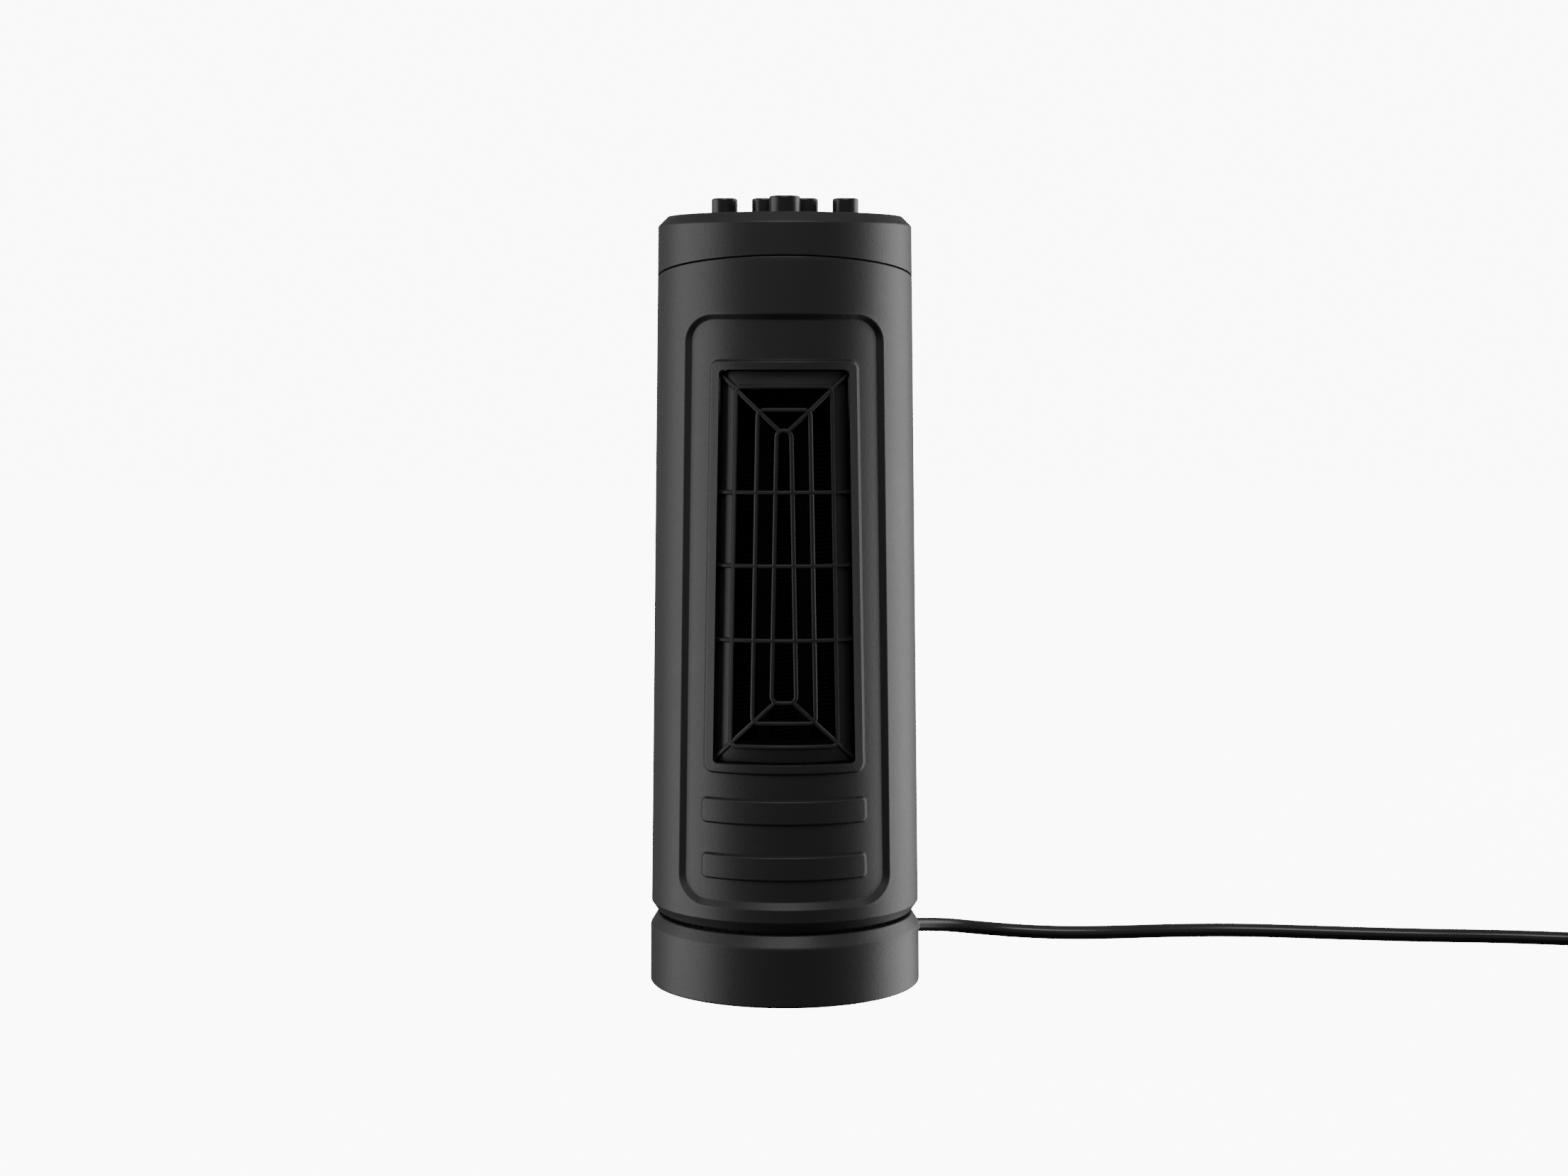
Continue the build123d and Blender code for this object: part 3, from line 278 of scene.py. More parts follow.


# the edge amount in each finish sets how strongly its sharp edges are painted paler, a painted highlight
finishes = {
    "housing_black": finishOf("housingBlack", (0.0095, 0.0098, 0.0102), (0.015, 0.0154, 0.016), 0.46, spread=0.09,
                              grain=1500, coarse=0.5, depth=0.00009, strength=0.5, drift=9, smudges=0.35, wear=0.18),
    "grille_black": finishOf("grilleBlack", (0.009, 0.009, 0.0095), (0.014, 0.0142, 0.0145), 0.40, spread=0.05,
                             grain=3000, depth=0.00003, strength=0.25, drift=20, smudges=0.2, wear=0.35),
    "key_black": finishOf("keyBlack", (0.006, 0.0062, 0.0066), (0.011, 0.0112, 0.0118), 0.33, spread=0.05,
                          grain=2600, depth=0.00003, strength=0.25, drift=60, smudges=0.6, wear=0.25),
    "rubber_black": finishOf("footRubber", (0.014, 0.014, 0.013), (0.024, 0.023, 0.022), 0.82, spread=0.08,
                             grain=2200, coarse=0.6, depth=0.00012, drift=40, smudges=0.0, wear=0.3, specular=0.3),
    "screw_steel": finishOf("screwSteel", (0.46, 0.45, 0.42), (0.6, 0.59, 0.56), 0.32, metallic=1.0, spread=0.08,
                            grain=3200, depth=0.00002, drift=120, smudges=0.3, wear=0.3),
    "bearing_nylon": finishOf("bearingNylon", (0.72, 0.71, 0.66), (0.8, 0.79, 0.75), 0.42, grain=2500,
                              depth=0.00003, drift=40, wear=0.1, specular=0.45),
    "shaft_steel": finishOf("shaftSteel", (0.5, 0.5, 0.51), (0.62, 0.62, 0.63), 0.22, metallic=1.0, spread=0.06,
                            grain=3500, depth=0.00001, drift=60, streaks=(0.04, 0.04, 1)),
    "zinc_plated": finishOf("zincPlate", (0.5, 0.5, 0.47), (0.66, 0.65, 0.6), 0.36, metallic=1.0, spread=0.12,
                            grain=900, coarse=0.75, depth=0.00003, drift=25, smudges=0.7, wear=0.2,
                            streaks=(1, 1, 0.05)),
    "lamination_steel": finishOf("laminationSteel", (0.2, 0.2, 0.21), (0.34, 0.33, 0.33), 0.45, metallic=1.0,
                                 spread=0.1, grain=2600, depth=0.00006, drift=40, streaks=(0.03, 0.03, 1)),
    "enamelled_copper": finishOf("enamelledCopper", (0.42, 0.13, 0.04), (0.62, 0.22, 0.07), 0.28, metallic=1.0,
                                 spread=0.06, grain=1400, coarse=0.2, depth=0.0002, strength=0.6, drift=80,
                                 coat=0.4, streaks=(0.1, 0.1, 1)),
    "inner_black": finishOf("innerBlack", (0.012, 0.012, 0.012), (0.02, 0.02, 0.02), 0.5, grain=1800,
                            depth=0.00005, drift=20, wear=0.15),
    "terminal_white": finishOf("terminalWhite", (0.74, 0.73, 0.69), (0.82, 0.81, 0.78), 0.4, grain=2400,
                               depth=0.00003, drift=60),
    "switch_plastic": finishOf("switchPlastic", (0.035, 0.036, 0.04), (0.055, 0.056, 0.06), 0.38, grain=2400,
                               depth=0.00003, drift=60),
    "heat_resistant_frame": finishOf("heatFrame", (0.003, 0.003, 0.003), (0.006, 0.0055, 0.005), 0.75, grain=1600,
                                     coarse=0.6, depth=0.00008, drift=50, specular=0.15, wear=0.05),
    "ptc_ceramic": finishOf("stoneCeramic", (0.003, 0.003, 0.003), (0.006, 0.006, 0.006), 0.85, spread=0.1,
                            grain=1200, coarse=0.7, depth=0.00015, strength=0.6, drift=60, smudges=0.0,
                            specular=0.1, wear=0.05),
    "fin_aluminium": finishOf("finBlackCoat", (0.003, 0.003, 0.003), (0.006, 0.006, 0.006), 0.8, spread=0.08,
                              grain=2000, depth=0.00003, drift=70, specular=0.1, wear=0.05, streaks=(1, 0.05, 1)),
    "cutout_black": finishOf("cutoutPhenolic", (0.02, 0.018, 0.016), (0.035, 0.03, 0.026), 0.35, grain=2200,
                             depth=0.00004, drift=80),
    "fuse_steel": finishOf("fuseSteel", (0.5, 0.48, 0.44), (0.66, 0.64, 0.6), 0.3, metallic=1.0, grain=2500,
                           depth=0.00002, drift=90),
    "cord_pvc": finishOf("cordVinyl", (0.008, 0.008, 0.0085), (0.014, 0.014, 0.0145), 0.27, spread=0.05, grain=1300,
                         coarse=0.1, depth=0.00005, strength=0.3, drift=35, smudges=0.5, wear=0.1, coat=0.15),
    "tie_black": finishOf("tieSleeve", (0.012, 0.012, 0.012), (0.02, 0.02, 0.02), 0.45, grain=2000, depth=0.00005,
                          drift=60),
    "nickel_pins": finishOf("nickelPins", (0.62, 0.6, 0.55), (0.74, 0.72, 0.67), 0.2, metallic=1.0, spread=0.05,
                            grain=3000, depth=0.00001, drift=90, streaks=(0.05, 1, 1)),
}
slotOf = {entry["node"]: entry["material_slot"] for entry in frame["record"]["subparts"]}
for name, node in frame["nodes"].items():
    node.data.materials.clear()
    node.data.materials.append(finishes[slotOf[name]])
print("finishes made", len(finishes))


# mesh helpers
sideSteps, endSteps, cornerSteps = 64, 44, 10     # points on each long side, short side and corner of an outline


def soften(loops, widths, closed=False):
    # rounds the loops whose index is in widths, the same way all round
    count, result = len(loops), []
    for index, loop in enumerate(loops):
        width = widths.get(index)
        inner = closed or 0 < index < count - 1
        if not width or not inner:
            result.append(loop)
            continue
        before, after = loops[index - 1], loops[(index + 1) % count]
        reach = []
        for other in (before, after):
            gap = other - loop
            length = np.linalg.norm(gap, axis=1, keepdims=True)
            reach.append(loop + gap * np.minimum(width / np.maximum(length, 1e-9), 0.45))
        for t in (0, 0.3, 0.7, 1):
            result.append((1 - t) ** 2 * reach[0] + 2 * t * (1 - t) * loop + t * t * reach[1])
    return result


def closeStrip(first, size):
    # quads between the mirrored points of a narrow outline, so that its middle stays smooth
    # outline() runs up the right side and back along the top
    middle = cornerSteps + sideSteps // 2
    faces = []
    for step in range(size // 2 - 1):
        a, b = (middle - step) % size, (middle - step - 1) % size
        c, d = (middle + step + 1) % size, (middle + step) % size
        faces.append((first + a, first + d, first + c, first + b) if step else (first + a, first + c, first + b))
    return faces


def meshOf(name, groups):
    # groups is a list of (loops, ends); ends is "join", "cap" or "strip"
    points, faces = [], []
    for loops, ends in groups:
        first, size = len(points), len(loops[0])
        for loop in loops:
            points.extend(map(tuple, np.asarray(loop) * mm))
        rows = len(loops)
        for row in range(rows if ends == "join" else rows - 1):
            low, high = first + row * size, first + (row + 1) % rows * size
            for i in range(size):
                j = (i + 1) % size
                faces.append((low + i, low + j, high + j, high + i))
        if ends in ("cap", "strip"):
            faces.append(tuple(range(first, first + size)))
        if ends == "cap":
            faces.append(tuple(first + (rows - 1) * size + i for i in range(size)))
        if ends == "strip":     # joins the last loop's lower and upper sides, point by point
            faces.extend(closeStrip(first + (rows - 1) * size, size))
    mesh = bpy.data.meshes.new(name)
    mesh.from_pydata(points, [], faces)
    work = bmesh.new()
    work.from_mesh(mesh)
    bmesh.ops.remove_doubles(work, verts=work.verts, dist=1e-7)
    bmesh.ops.recalc_face_normals(work, faces=work.faces)
    work.to_mesh(mesh)
    work.free()
    mesh.shade_smooth()
    return mesh


def addPiece(mesh, slotName, body, stands=(), sharp=38, weighted=True):
    piece = bpy.data.objects.new(mesh.name, mesh)
    bpy.context.scene.collection.objects.link(piece)
    mesh.materials.clear()
    mesh.materials.append(finishes[slotName])
    mesh.set_sharp_from_angle(angle=math.radians(sharp))
    if weighted:
        steady = piece.modifiers.new("steadyShading", "WEIGHTED_NORMAL")
        steady.keep_sharp = True
        steady.weight = 60
    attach(piece, body)
    if stands:
        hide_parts(*stands)
    return piece


def circle(radius, height, steps, centre=(0, 0)):
    angle = np.linspace(0, 2 * math.pi, steps, endpoint=False)
    return np.stack([centre[0] + radius * np.cos(angle), centre[1] + radius * np.sin(angle),
                     np.full(steps, float(height))], axis=1)


def turned(profile, steps, centre=(0, 0), rounds=None, closed=True):
    # loops of a turned shape; profile is (radius, height) and rounds gives a radius for chosen corners
    loops = [circle(radius, height, steps, centre) for radius, height in profile]
    return soften(loops, rounds or {}, closed)


def outline(low, high, half, corner, grow=0.0, flare=tower["flare"]):
    # round-cornered outline that widens downwards, always with the same number of points
    low, high, half, corner = low - grow, high + grow, half + grow, max(corner + grow, 0.25)
    spread = lambda z: half + flare * (tower["middle"] - z)
    points = []
    spots = [(1, low, -90), (1, high, 0), (-1, high, 90), (-1, low, 180)]
    for index, (side, level, start) in enumerate(spots):
        centreX = side * (spread(level) - corner)
        centreZ = level + corner if level == low else level - corner
        for step in range(cornerSteps + 1):
            angle = math.radians(start + 90 / cornerSteps * step)
            points.append((centreX + corner * math.cos(angle), centreZ + corner * math.sin(angle)))
        nextSide, nextLevel, nextStart = spots[(index + 1) % 4]
        nextX = nextSide * (spread(nextLevel) - corner)
        nextZ = nextLevel + corner if nextLevel == low else nextLevel - corner
        angle = math.radians(nextStart)
        goal = (nextX + corner * math.cos(angle), nextZ + corner * math.sin(angle))
        here = points[-1]
        count = sideSteps if index in (0, 2) else endSteps
        for step in range(1, count):
            t = step / count
            points.append((here[0] + (goal[0] - here[0]) * t, here[1] + (goal[1] - here[1]) * t))
    return np.array(points)


def onFace(flat, depth):
    # puts (x, z) points on the tower's cone, a given depth behind its surface
    reach = radiusAt(flat[:, 1]) - depth
    return np.stack([flat[:, 0], -np.sqrt(np.maximum(reach**2 - flat[:, 0] ** 2, 0)), flat[:, 1]], axis=1)


def onCone(turn, height, depth):
    reach = radiusAt(height) - depth
    return np.stack([reach * np.sin(turn), -reach * np.cos(turn), height], axis=1)


# lead, strain relief, coil and tie
lead = {
    "diameter": 6.0, "floor": 3.0, "length": 1.4, "exitAngle": 48.0, "exitHeight": 10.5,
    "flangeStart": 56.05, "flange": 1.6, "flangeRadius": 6.6, "neck": 5.4, "tail": 26.0, "tip": 3.9,
    "coilCentre": (412.0, 98.0), "outerTurn": 36.2, "turnStep": 6.25, "secondLayer": 9.25, "stepsPerTurn": 18,
    "floorTurns": 2, "allTurns": 5.0, "climb": 0.4,
    "tieAngle": 0.0, "tieWidth": 7.0, "tieStrap": 0.9, "tieInner": 20.4, "tieOuter": 38.5, "tieTop": 12.4,
    "tieSlack": 0.1, "tieSpread": 28,
}
exitWay = Vector((math.cos(math.radians(lead["exitAngle"])), math.sin(math.radians(lead["exitAngle"])), 0))
tailEnd = lead["flangeStart"] + lead["flange"] + lead["tail"]
tailPoint = (tailEnd * exitWay.x, tailEnd * exitWay.y, lead["exitHeight"])


def coilTurns():
    # the put-away length: two layers of turns, inwards on the floor and outwards on top
    centreX, centreY = lead["coilCentre"]
    climb, floorTurns = lead["climb"], lead["floorTurns"]
    points = []
    for step in range(1, int(lead["allTurns"] * lead["stepsPerTurn"])):
        t = step / lead["stepsPerTurn"]
        if t <= floorTurns:
            radius, height = lead["outerTurn"] - lead["turnStep"] * t, lead["floor"]
        else:
            rise = min((t - floorTurns) / climb, 1)
            radius = lead["outerTurn"] - floorTurns * lead["turnStep"]
            radius += lead["turnStep"] * max(t - floorTurns - climb, 0)
            height = lead["floor"] + (lead["secondLayer"] - lead["floor"]) * rise * rise * (3 - 2 * rise)
        angle = math.radians(-90 + 360 * t)
        off = (math.degrees(angle) - lead["tieAngle"] + 180) % 360 - 180
        height += lead["tieStrap"] * math.exp(-((off / lead["tieSpread"]) ** 2))
        points.append((centreX + radius * math.cos(angle), centreY + radius * math.sin(angle), height))
    return points


route = [
    tailPoint, (68.5, 72.6, 8.6), (83, 80.4, 5.6), (101, 82.6, 3.6), (122, 80.6, 3), (146, 81.8, 3), (173, 86.4, 3),
    (205, 87.6, 3), (241, 82, 3), (279, 76.6, 3), (317, 74.4, 3), (353, 68, 3), (384, 63.4, 3), (402, 62.0, 3),
]
leaving = [(416, 57.6, 9.2), (431, 58.4, 8.4), (446, 62.6, 6.4), (460, 66.0, 6.4), (474, 66.6, 7.8)]
line = bpy.data.curves.new("powerLead", "CURVE")
line.dimensions = "3D"
line.bevel_depth = lead["diameter"] / 2 * mm
line.bevel_resolution = 6
line.resolution_u = 6
line.use_fill_caps = True
spline = line.splines.new("NURBS")
leadPoints = route + coilTurns() + leaving
spline.points.add(len(leadPoints) - 1)
for point, (x, y, z) in zip(spline.points, leadPoints):
    point.co = (x * mm, y * mm, z * mm, 1)
spline.order_u = 3
spline.use_endpoint_u = True
line.materials.append(finishes["cord_pvc"])
powerLead = bpy.data.objects.new("powerLead", line)
bpy.context.scene.collection.objects.link(powerLead)
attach(powerLead, "base")
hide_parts("power_cord", "cord_coil", "cord_tail")


def alongExit(profile, steps, rounds=None):
    # turned about the lead's own direction as it leaves the base; profile is (reach, radius)
    side = Vector((-exitWay.y, exitWay.x, 0))
    angle = np.linspace(0, 2 * math.pi, steps, endpoint=False)
    loops = []
    for reach, radius in profile:
        ring = (np.outer(radius * np.cos(angle), side) + np.outer(radius * np.sin(angle), (0, 0, 1))
                + np.array(exitWay) * reach + np.array((0, 0, lead["exitHeight"])))
        loops.append(ring)
    return soften(loops, rounds or {}, True)


def strainRelief():
    start, thick, tail = lead["flangeStart"], lead["flange"], lead["tail"]
    profile = [(start - 5.4, 3.02), (start - 5.4, lead["neck"]), (start, lead["neck"]),
               (start, lead["flangeRadius"]), (start + thick, lead["flangeRadius"]), (start + thick, lead["neck"])]
    rounds = {3: 0.3, 4: 0.6}
    segments = 7
    first = start + thick + 2.6
    pitch = (tail - 5.0) / segments
    for index in range(segments):      # flexible segments with grooves between them
        low = first + index * pitch
        at = lambda reach: lead["neck"] + (lead["tip"] - lead["neck"]) * (reach - start - thick) / tail
        for reach, cut in ((low, 0), (low + 0.25, 0.8), (low + 1.05, 0.8), (low + 1.3, 0)):
            profile.append((reach, at(reach) - cut))
            rounds[len(profile) - 1] = 0.12
    profile += [(start + thick + tail, lead["tip"]), (start + thick + tail, 3.02)]
    rounds[len(profile) - 2] = 0.6
    return meshOf("strainRelief", [(alongExit(profile, 56, rounds), "join")])


addPiece(strainRelief(), "cord_pvc", "base", ["cord_gland"])


def tieBand():
    # soft sleeve round the bundle, closed with a small flat head
    centreX, centreY = lead["coilCentre"]
    inner, outer, strap = lead["tieInner"], lead["tieOuter"], lead["tieStrap"]
    top = lead["tieTop"] + strap + lead["tieSlack"]

    def band(grow, corner):
        points = []
        low, high = 0.05 + strap - grow, top + grow
        left, right = inner - grow, outer + grow
        for side, level, start in ((right, low, -90), (right, high, 0), (left, high, 90), (left, low, 180)):
            for step in range(9):
                angle = math.radians(start + step * 11.25)
                x = side + (-corner if side == right else corner) + corner * math.cos(angle)
                z = level + (corner if level == low else -corner) + corner * math.sin(angle)
                points.append((x, z))
        return np.array(points)

    sections = []
    for grow, corner, off in ((0, 2.6, -1), (0, 2.6, 1), (strap, 3.4, 1), (strap, 3.4, -1)):
        ring = band(grow, corner)
        sections.append(np.stack([centreX + ring[:, 0], np.full(len(ring), centreY + off * lead["tieWidth"] / 2),
                                  ring[:, 1]], axis=1))
    head = [(-4.2, 0), (4.2, 0), (4.2, 1.6), (-4.2, 1.6)]
    blocks = []
    for x in (centreX + 27.4, centreX + 33.0):
        blocks.append(np.array([(x, centreY + y, top + strap - 0.2 + z * 0.75) for y, z in head]))
    return meshOf("leadTie", [(soften(sections, {2: 0.3, 3: 0.3}, True), "join"), (blocks, "cap")])


leadTie = addPiece(tieBand(), "tie_black", "base", ["cord_tie"])
print("lead laid", len(leadPoints), "points")


# base
base = {
    "radius": 56.0, "low": 0.8, "top": 29.6, "edge": 4.8, "inset": 3.2, "wall": 2.4, "bore": 15.05,
    "deckUnder": 27.0, "steps": 160,
}


def baseShell():
    inner = base["radius"] - base["wall"]
    profile = [
        (inner, base["low"]), (base["radius"] - 0.6, base["low"]), (base["radius"], base["low"] + 0.6),
        (base["radius"] - 0.2, base["top"] - base["edge"]), (base["radius"] - base["inset"], base["top"]),
        (base["bore"], base["top"]), (base["bore"], base["deckUnder"]),
        (inner - 3.4, base["deckUnder"]), (inner - 0.2, base["deckUnder"] - 3.4),
    ]
    return meshOf("baseShell", [(turned(profile, base["steps"], rounds={1: 0.3, 2: 0.4, 3: 0.7, 4: 0.5}), "join")])


addPiece(baseShell(), "housing_black", "base", ["base_shell"])
print("base made")


# front housing with its recessed panel
front = {
    "edgeGap": 0.15, "step": 12,
    "bevelOuter": {"low": 40.3, "high": 276.3, "half": 40.8, "corner": 11.0, "flare": 0.0135},
    "bevelInner": {"low": 43.0, "high": 274.2, "half": 38.0, "corner": 8.6, "flare": 0.0135},
    "panelDepth": 2.0,
    "rim": {"low": 94.0, "high": 258.6, "half": 31.1, "corner": 4.0}, "rimChamfer": 0.85, "rimDepth": 0.7,
    "opening": {"low": 98.1, "high": 254.5, "half": 27.0, "corner": 1.6}, "collar": 7.3,
    "pads": (56.6, 79.0), "padHalf": 33.4, "padHeight": 10.6, "padCorner": 2.4, "padDepth": 0.7,
    "padChamfer": 0.85, "edgeRound": 0.45, "edgeDrop": 0.35, "seamReach": 53.0, "footShare": 60,
}


def between(first, last, count):
    return [first + (last - first) * step / count for step in range(1, count)]


def toCone(flat, depth):
    # (x, z) points as (angle, height), for a given depth
    reach = radiusAt(flat[:, 1]) - depth
    return np.stack([np.arcsin(flat[:, 0] / reach), flat[:, 1]], axis=1)


def boundary(inset):
    # outer edge of the front housing as (angle, height): the split at the sides, the seam above
    full = 100.0
    box = outline(0.0, full, full, 0.0)
    share = np.clip(box[:, 1] / full, 0, 1)
    # the outline's own flare is taken out so that the sides run straight up the split
    turn = np.clip(box[:, 0] / (full + tower["flare"] * (tower["middle"] - box[:, 1])), -1, 1)
    low = np.full(len(box), tower["foot"] if inset == 0 else tower["taperStart"])
    turn = turn * (math.pi / 2 + (tower["split"] - front["edgeGap"] - inset) / tower["radius"])
    top = tower["seam"] - tower["seamGap"] / 2 - inset + tower["seamTilt"] * front["seamReach"] * np.cos(turn)
    height = low + (top - low) * share
    # the edge keeps its distance from the split while the tower narrows
    reach = radiusAt(height)
    lean = np.arcsin((tower["split"] - front["edgeGap"] - inset) / reach) - (
        tower["split"] - front["edgeGap"] - inset) / tower["radius"]
    turn = turn + np.sign(turn) * lean * (np.abs(turn) / (math.pi / 2)) ** 4
    return np.stack([turn, height], axis=1), share


def housingFoot(flat, share, depth):
    # maps the outermost loop, whose lower side sits on the tower's sloping foot
    onFoot = np.clip(1 - share * front["footShare"], 0, 1)
    sunk = depth + onFoot * (radiusAt(tower["foot"]) - tower["footRadius"])
    return onCone(flat[:, 0], flat[:, 1], sunk)


def frontHousing():
    edge, edgeShare = boundary(0)
    rimmed, rimmedShare = boundary(front["edgeRound"])
    outer, inner, rim = front["bevelOuter"], front["bevelInner"], front["rim"]
    loops = [housingFoot(edge, edgeShare, tower["wall"]), housingFoot(edge, edgeShare, front["edgeDrop"]),
             onCone(rimmed[:, 0], rimmed[:, 1], 0.0)]
    rounds = {1: 0.3}
    bevelTop = toCone(outline(**outer), 0.0)
    for flat in between(rimmed, bevelTop, front["step"]):
        loops.append(onCone(flat[:, 0], flat[:, 1], 0.0))
    loops.append(onFace(outline(**outer), 0.0))
    rounds[len(loops) - 1] = 0.4
    loops.append(onFace(outline(**inner), front["panelDepth"]))
    rounds[len(loops) - 1] = 0.35
    for flat in between(outline(**inner), outline(**rim), 5):
        loops.append(onFace(flat, front["panelDepth"]))
    loops.append(onFace(outline(**rim), front["panelDepth"]))
    rounds[len(loops) - 1] = 0.15
    loops.append(onFace(outline(**rim, grow=-front["rimChamfer"]), front["rimDepth"]))
    rounds[len(loops) - 1] = 0.3
    loops.append(onFace(outline(**front["opening"]), front["rimDepth"]))
    rounds[len(loops) - 1] = 0.25
    loops.append(onFace(outline(**front["opening"]), front["collar"]))
    loops.append(onFace(outline(**rim), front["collar"]))
    loops.append(onFace(outline(**rim), front["panelDepth"] + tower["wall"]))
    back = toCone(outline(**outer, grow=1.2), tower["wall"])
    loops.append(onFace(outline(**outer, grow=1.0), front["panelDepth"] + tower["wall"]))
    loops.append(onCone(back[:, 0], back[:, 1], tower["wall"]))
    for flat in between(back, edge, 6):
        loops.append(onCone(flat[:, 0], flat[:, 1], tower["wall"]))
    groups = [(soften(loops, rounds, True), "join")]
    for level in front["pads"]:
        low, high = level - front["padHeight"] / 2, level + front["padHeight"] / 2
        half = front["padHalf"] - tower["flare"] * (tower["middle"] - level)
        shape = {"low": low, "high": high, "half": half, "corner": front["padCorner"]}
        pad = [onFace(outline(**shape), front["panelDepth"] + 0.4), onFace(outline(**shape), front["panelDepth"]),
               onFace(outline(**shape, grow=-front["padChamfer"]), front["padDepth"])]
        pad += [onFace(outline(**shape, grow=-shrink), front["padDepth"]) for shrink in (2.0, 3.2, 4.3, 5.1)]
        groups.append((soften(pad, {2: 0.32}), "strip"))
    return meshOf("frontHousing", groups)


addPiece(frontHousing(), "housing_black", "tower", ["front_housing"], sharp=42)
print("front housing made")


# outlet grille
grille = {
    "face": 2.7, "deep": 2.6, "rib": 1.8, "chamfer": 0.42,
    "rings": ((105.1, 247.8, 20.2, 2.4), (114.5, 238.7, 11.5, 2.6), (122.7, 230.6, 3.9, 2.8)),
    "bars": (147.4, 177.0, 206.1), "barHalf": 26.9, "spokeLow": 99.6, "spokeHigh": 253.0,
    "funnelOuter": {"low": 98.7, "high": 254.1, "half": 25.5, "corner": 1.4}, "funnelDepth": 4.2,
    "funnelThick": 1.5, "hemDrop": 0.75, "flange": (98.4, 254.2, 26.7, 1.3), "flangeFront": 7.15, "flangeBack": 8.4,
}


def ribSection(path, closed, face):
    # flat-topped rib with chamfered edges that follows a path on the tower's face
    half, cut, deep = grille["rib"] / 2, grille["chamfer"], grille["deep"]
    section = [(half, deep), (half, cut), (half - cut, 0.0), (cut - half, 0.0), (-half, cut), (-half, deep)]
    path = np.asarray(path, float)
    if closed:
        along = np.roll(path, -1, axis=0) - np.roll(path, 1, axis=0)
    else:
        along = np.gradient(path, axis=0)
    along /= np.maximum(np.linalg.norm(along, axis=1, keepdims=True), 1e-9)
    side = np.stack([along[:, 1], -along[:, 0]], axis=1)
    lines = [onFace(path + side * offset, face + depth) for offset, depth in section]
    lines = soften(lines, {2: 0.12, 3: 0.12, 1: 0.08, 4: 0.08})
    return [np.array([line[k] for line in lines]) for k in range(len(path))]


def outletGrille():
    groups = []
    for low, high, half, corner in grille["rings"]:
        groups.append((ribSection(outline(low, high, half, corner), True, grille["face"]), "join"))
    for level in grille["bars"]:
        reach = grille["barHalf"] + tower["flare"] * (tower["middle"] - level)
        path = [(reach * step / 28, level) for step in range(-28, 29)]
        groups.append((ribSection(path, False, grille["face"] + 0.03), "cap"))
    low, high, half, corner = grille["rings"][2]
    for side in (-1, 1):
        for end, ringEnd in ((grille["spokeLow"], low), (grille["spokeHigh"], high)):
            reach = grille["barHalf"] + 0.1 + tower["flare"] * (tower["middle"] - end)
            near = half - 1.0 + tower["flare"] * (tower["middle"] - ringEnd)
            path = [(side * (reach + (near - reach) * step / 24), end + (ringEnd - end) * step / 24)
                    for step in range(25)]
            groups.append((ribSection(path, False, grille["face"] + 0.05), "cap"))
    low, high, half, corner = grille["rings"][0]
    thick = grille["funnelThick"]
    hem = grille["face"] + grille["hemDrop"]
    inner = outline(low, high, half, corner, grow=-0.2)
    outerLine = outline(**grille["funnelOuter"])
    funnel = [onFace(outerLine, grille["funnelDepth"] + thick), onFace(outerLine, grille["funnelDepth"])]
    for step in range(1, 4):
        share = step / 4
        funnel.append(onFace(outerLine + (inner - outerLine) * share,
                             grille["funnelDepth"] + (hem - grille["funnelDepth"]) * share))
    funnel += [onFace(inner, hem), onFace(inner, hem + thick)]
    groups.append((soften(funnel, {1: 0.3}, True), "join"))
    # hidden flange that carries the grille on the collar
    wide, near, far = outline(*grille["flange"]), grille["flangeFront"], grille["flangeBack"]
    groups.append(([onFace(wide, near), onFace(wide, far), onFace(inner, far), onFace(inner, near)], "join"))
    return meshOf("outletGrille", groups)


addPiece(outletGrille(), "grille_black", "tower", ["outlet_grille"], sharp=50)
print("grille made")


# lid, keys and knob
lid = {
    "steps": 192, "lift": 0.25, "wall": 1.6, "clearance": 0.35, "rise": 8.0, "round": 0.9,
    "seamRadius": 51.9, "guide": 4.4, "boreSteps": 72, "stemLow": 295.2, "stemRadius": 1.6, "stemPad": 2.6,
    "padHeight": 2.0, "flange": 1.25, "flangeHeight": 1.4, "slack": 0.3,
    "keys": [("key_1", -24.9, 10.0, 10.7), ("key_2", -8.3, 10.0, 10.7), ("key_3", 8.3, 10.0, 10.7),
             ("key_4", 24.9, 10.0, 10.7), ("swing_knob", 0.0, -10.0, 12.6)],
}


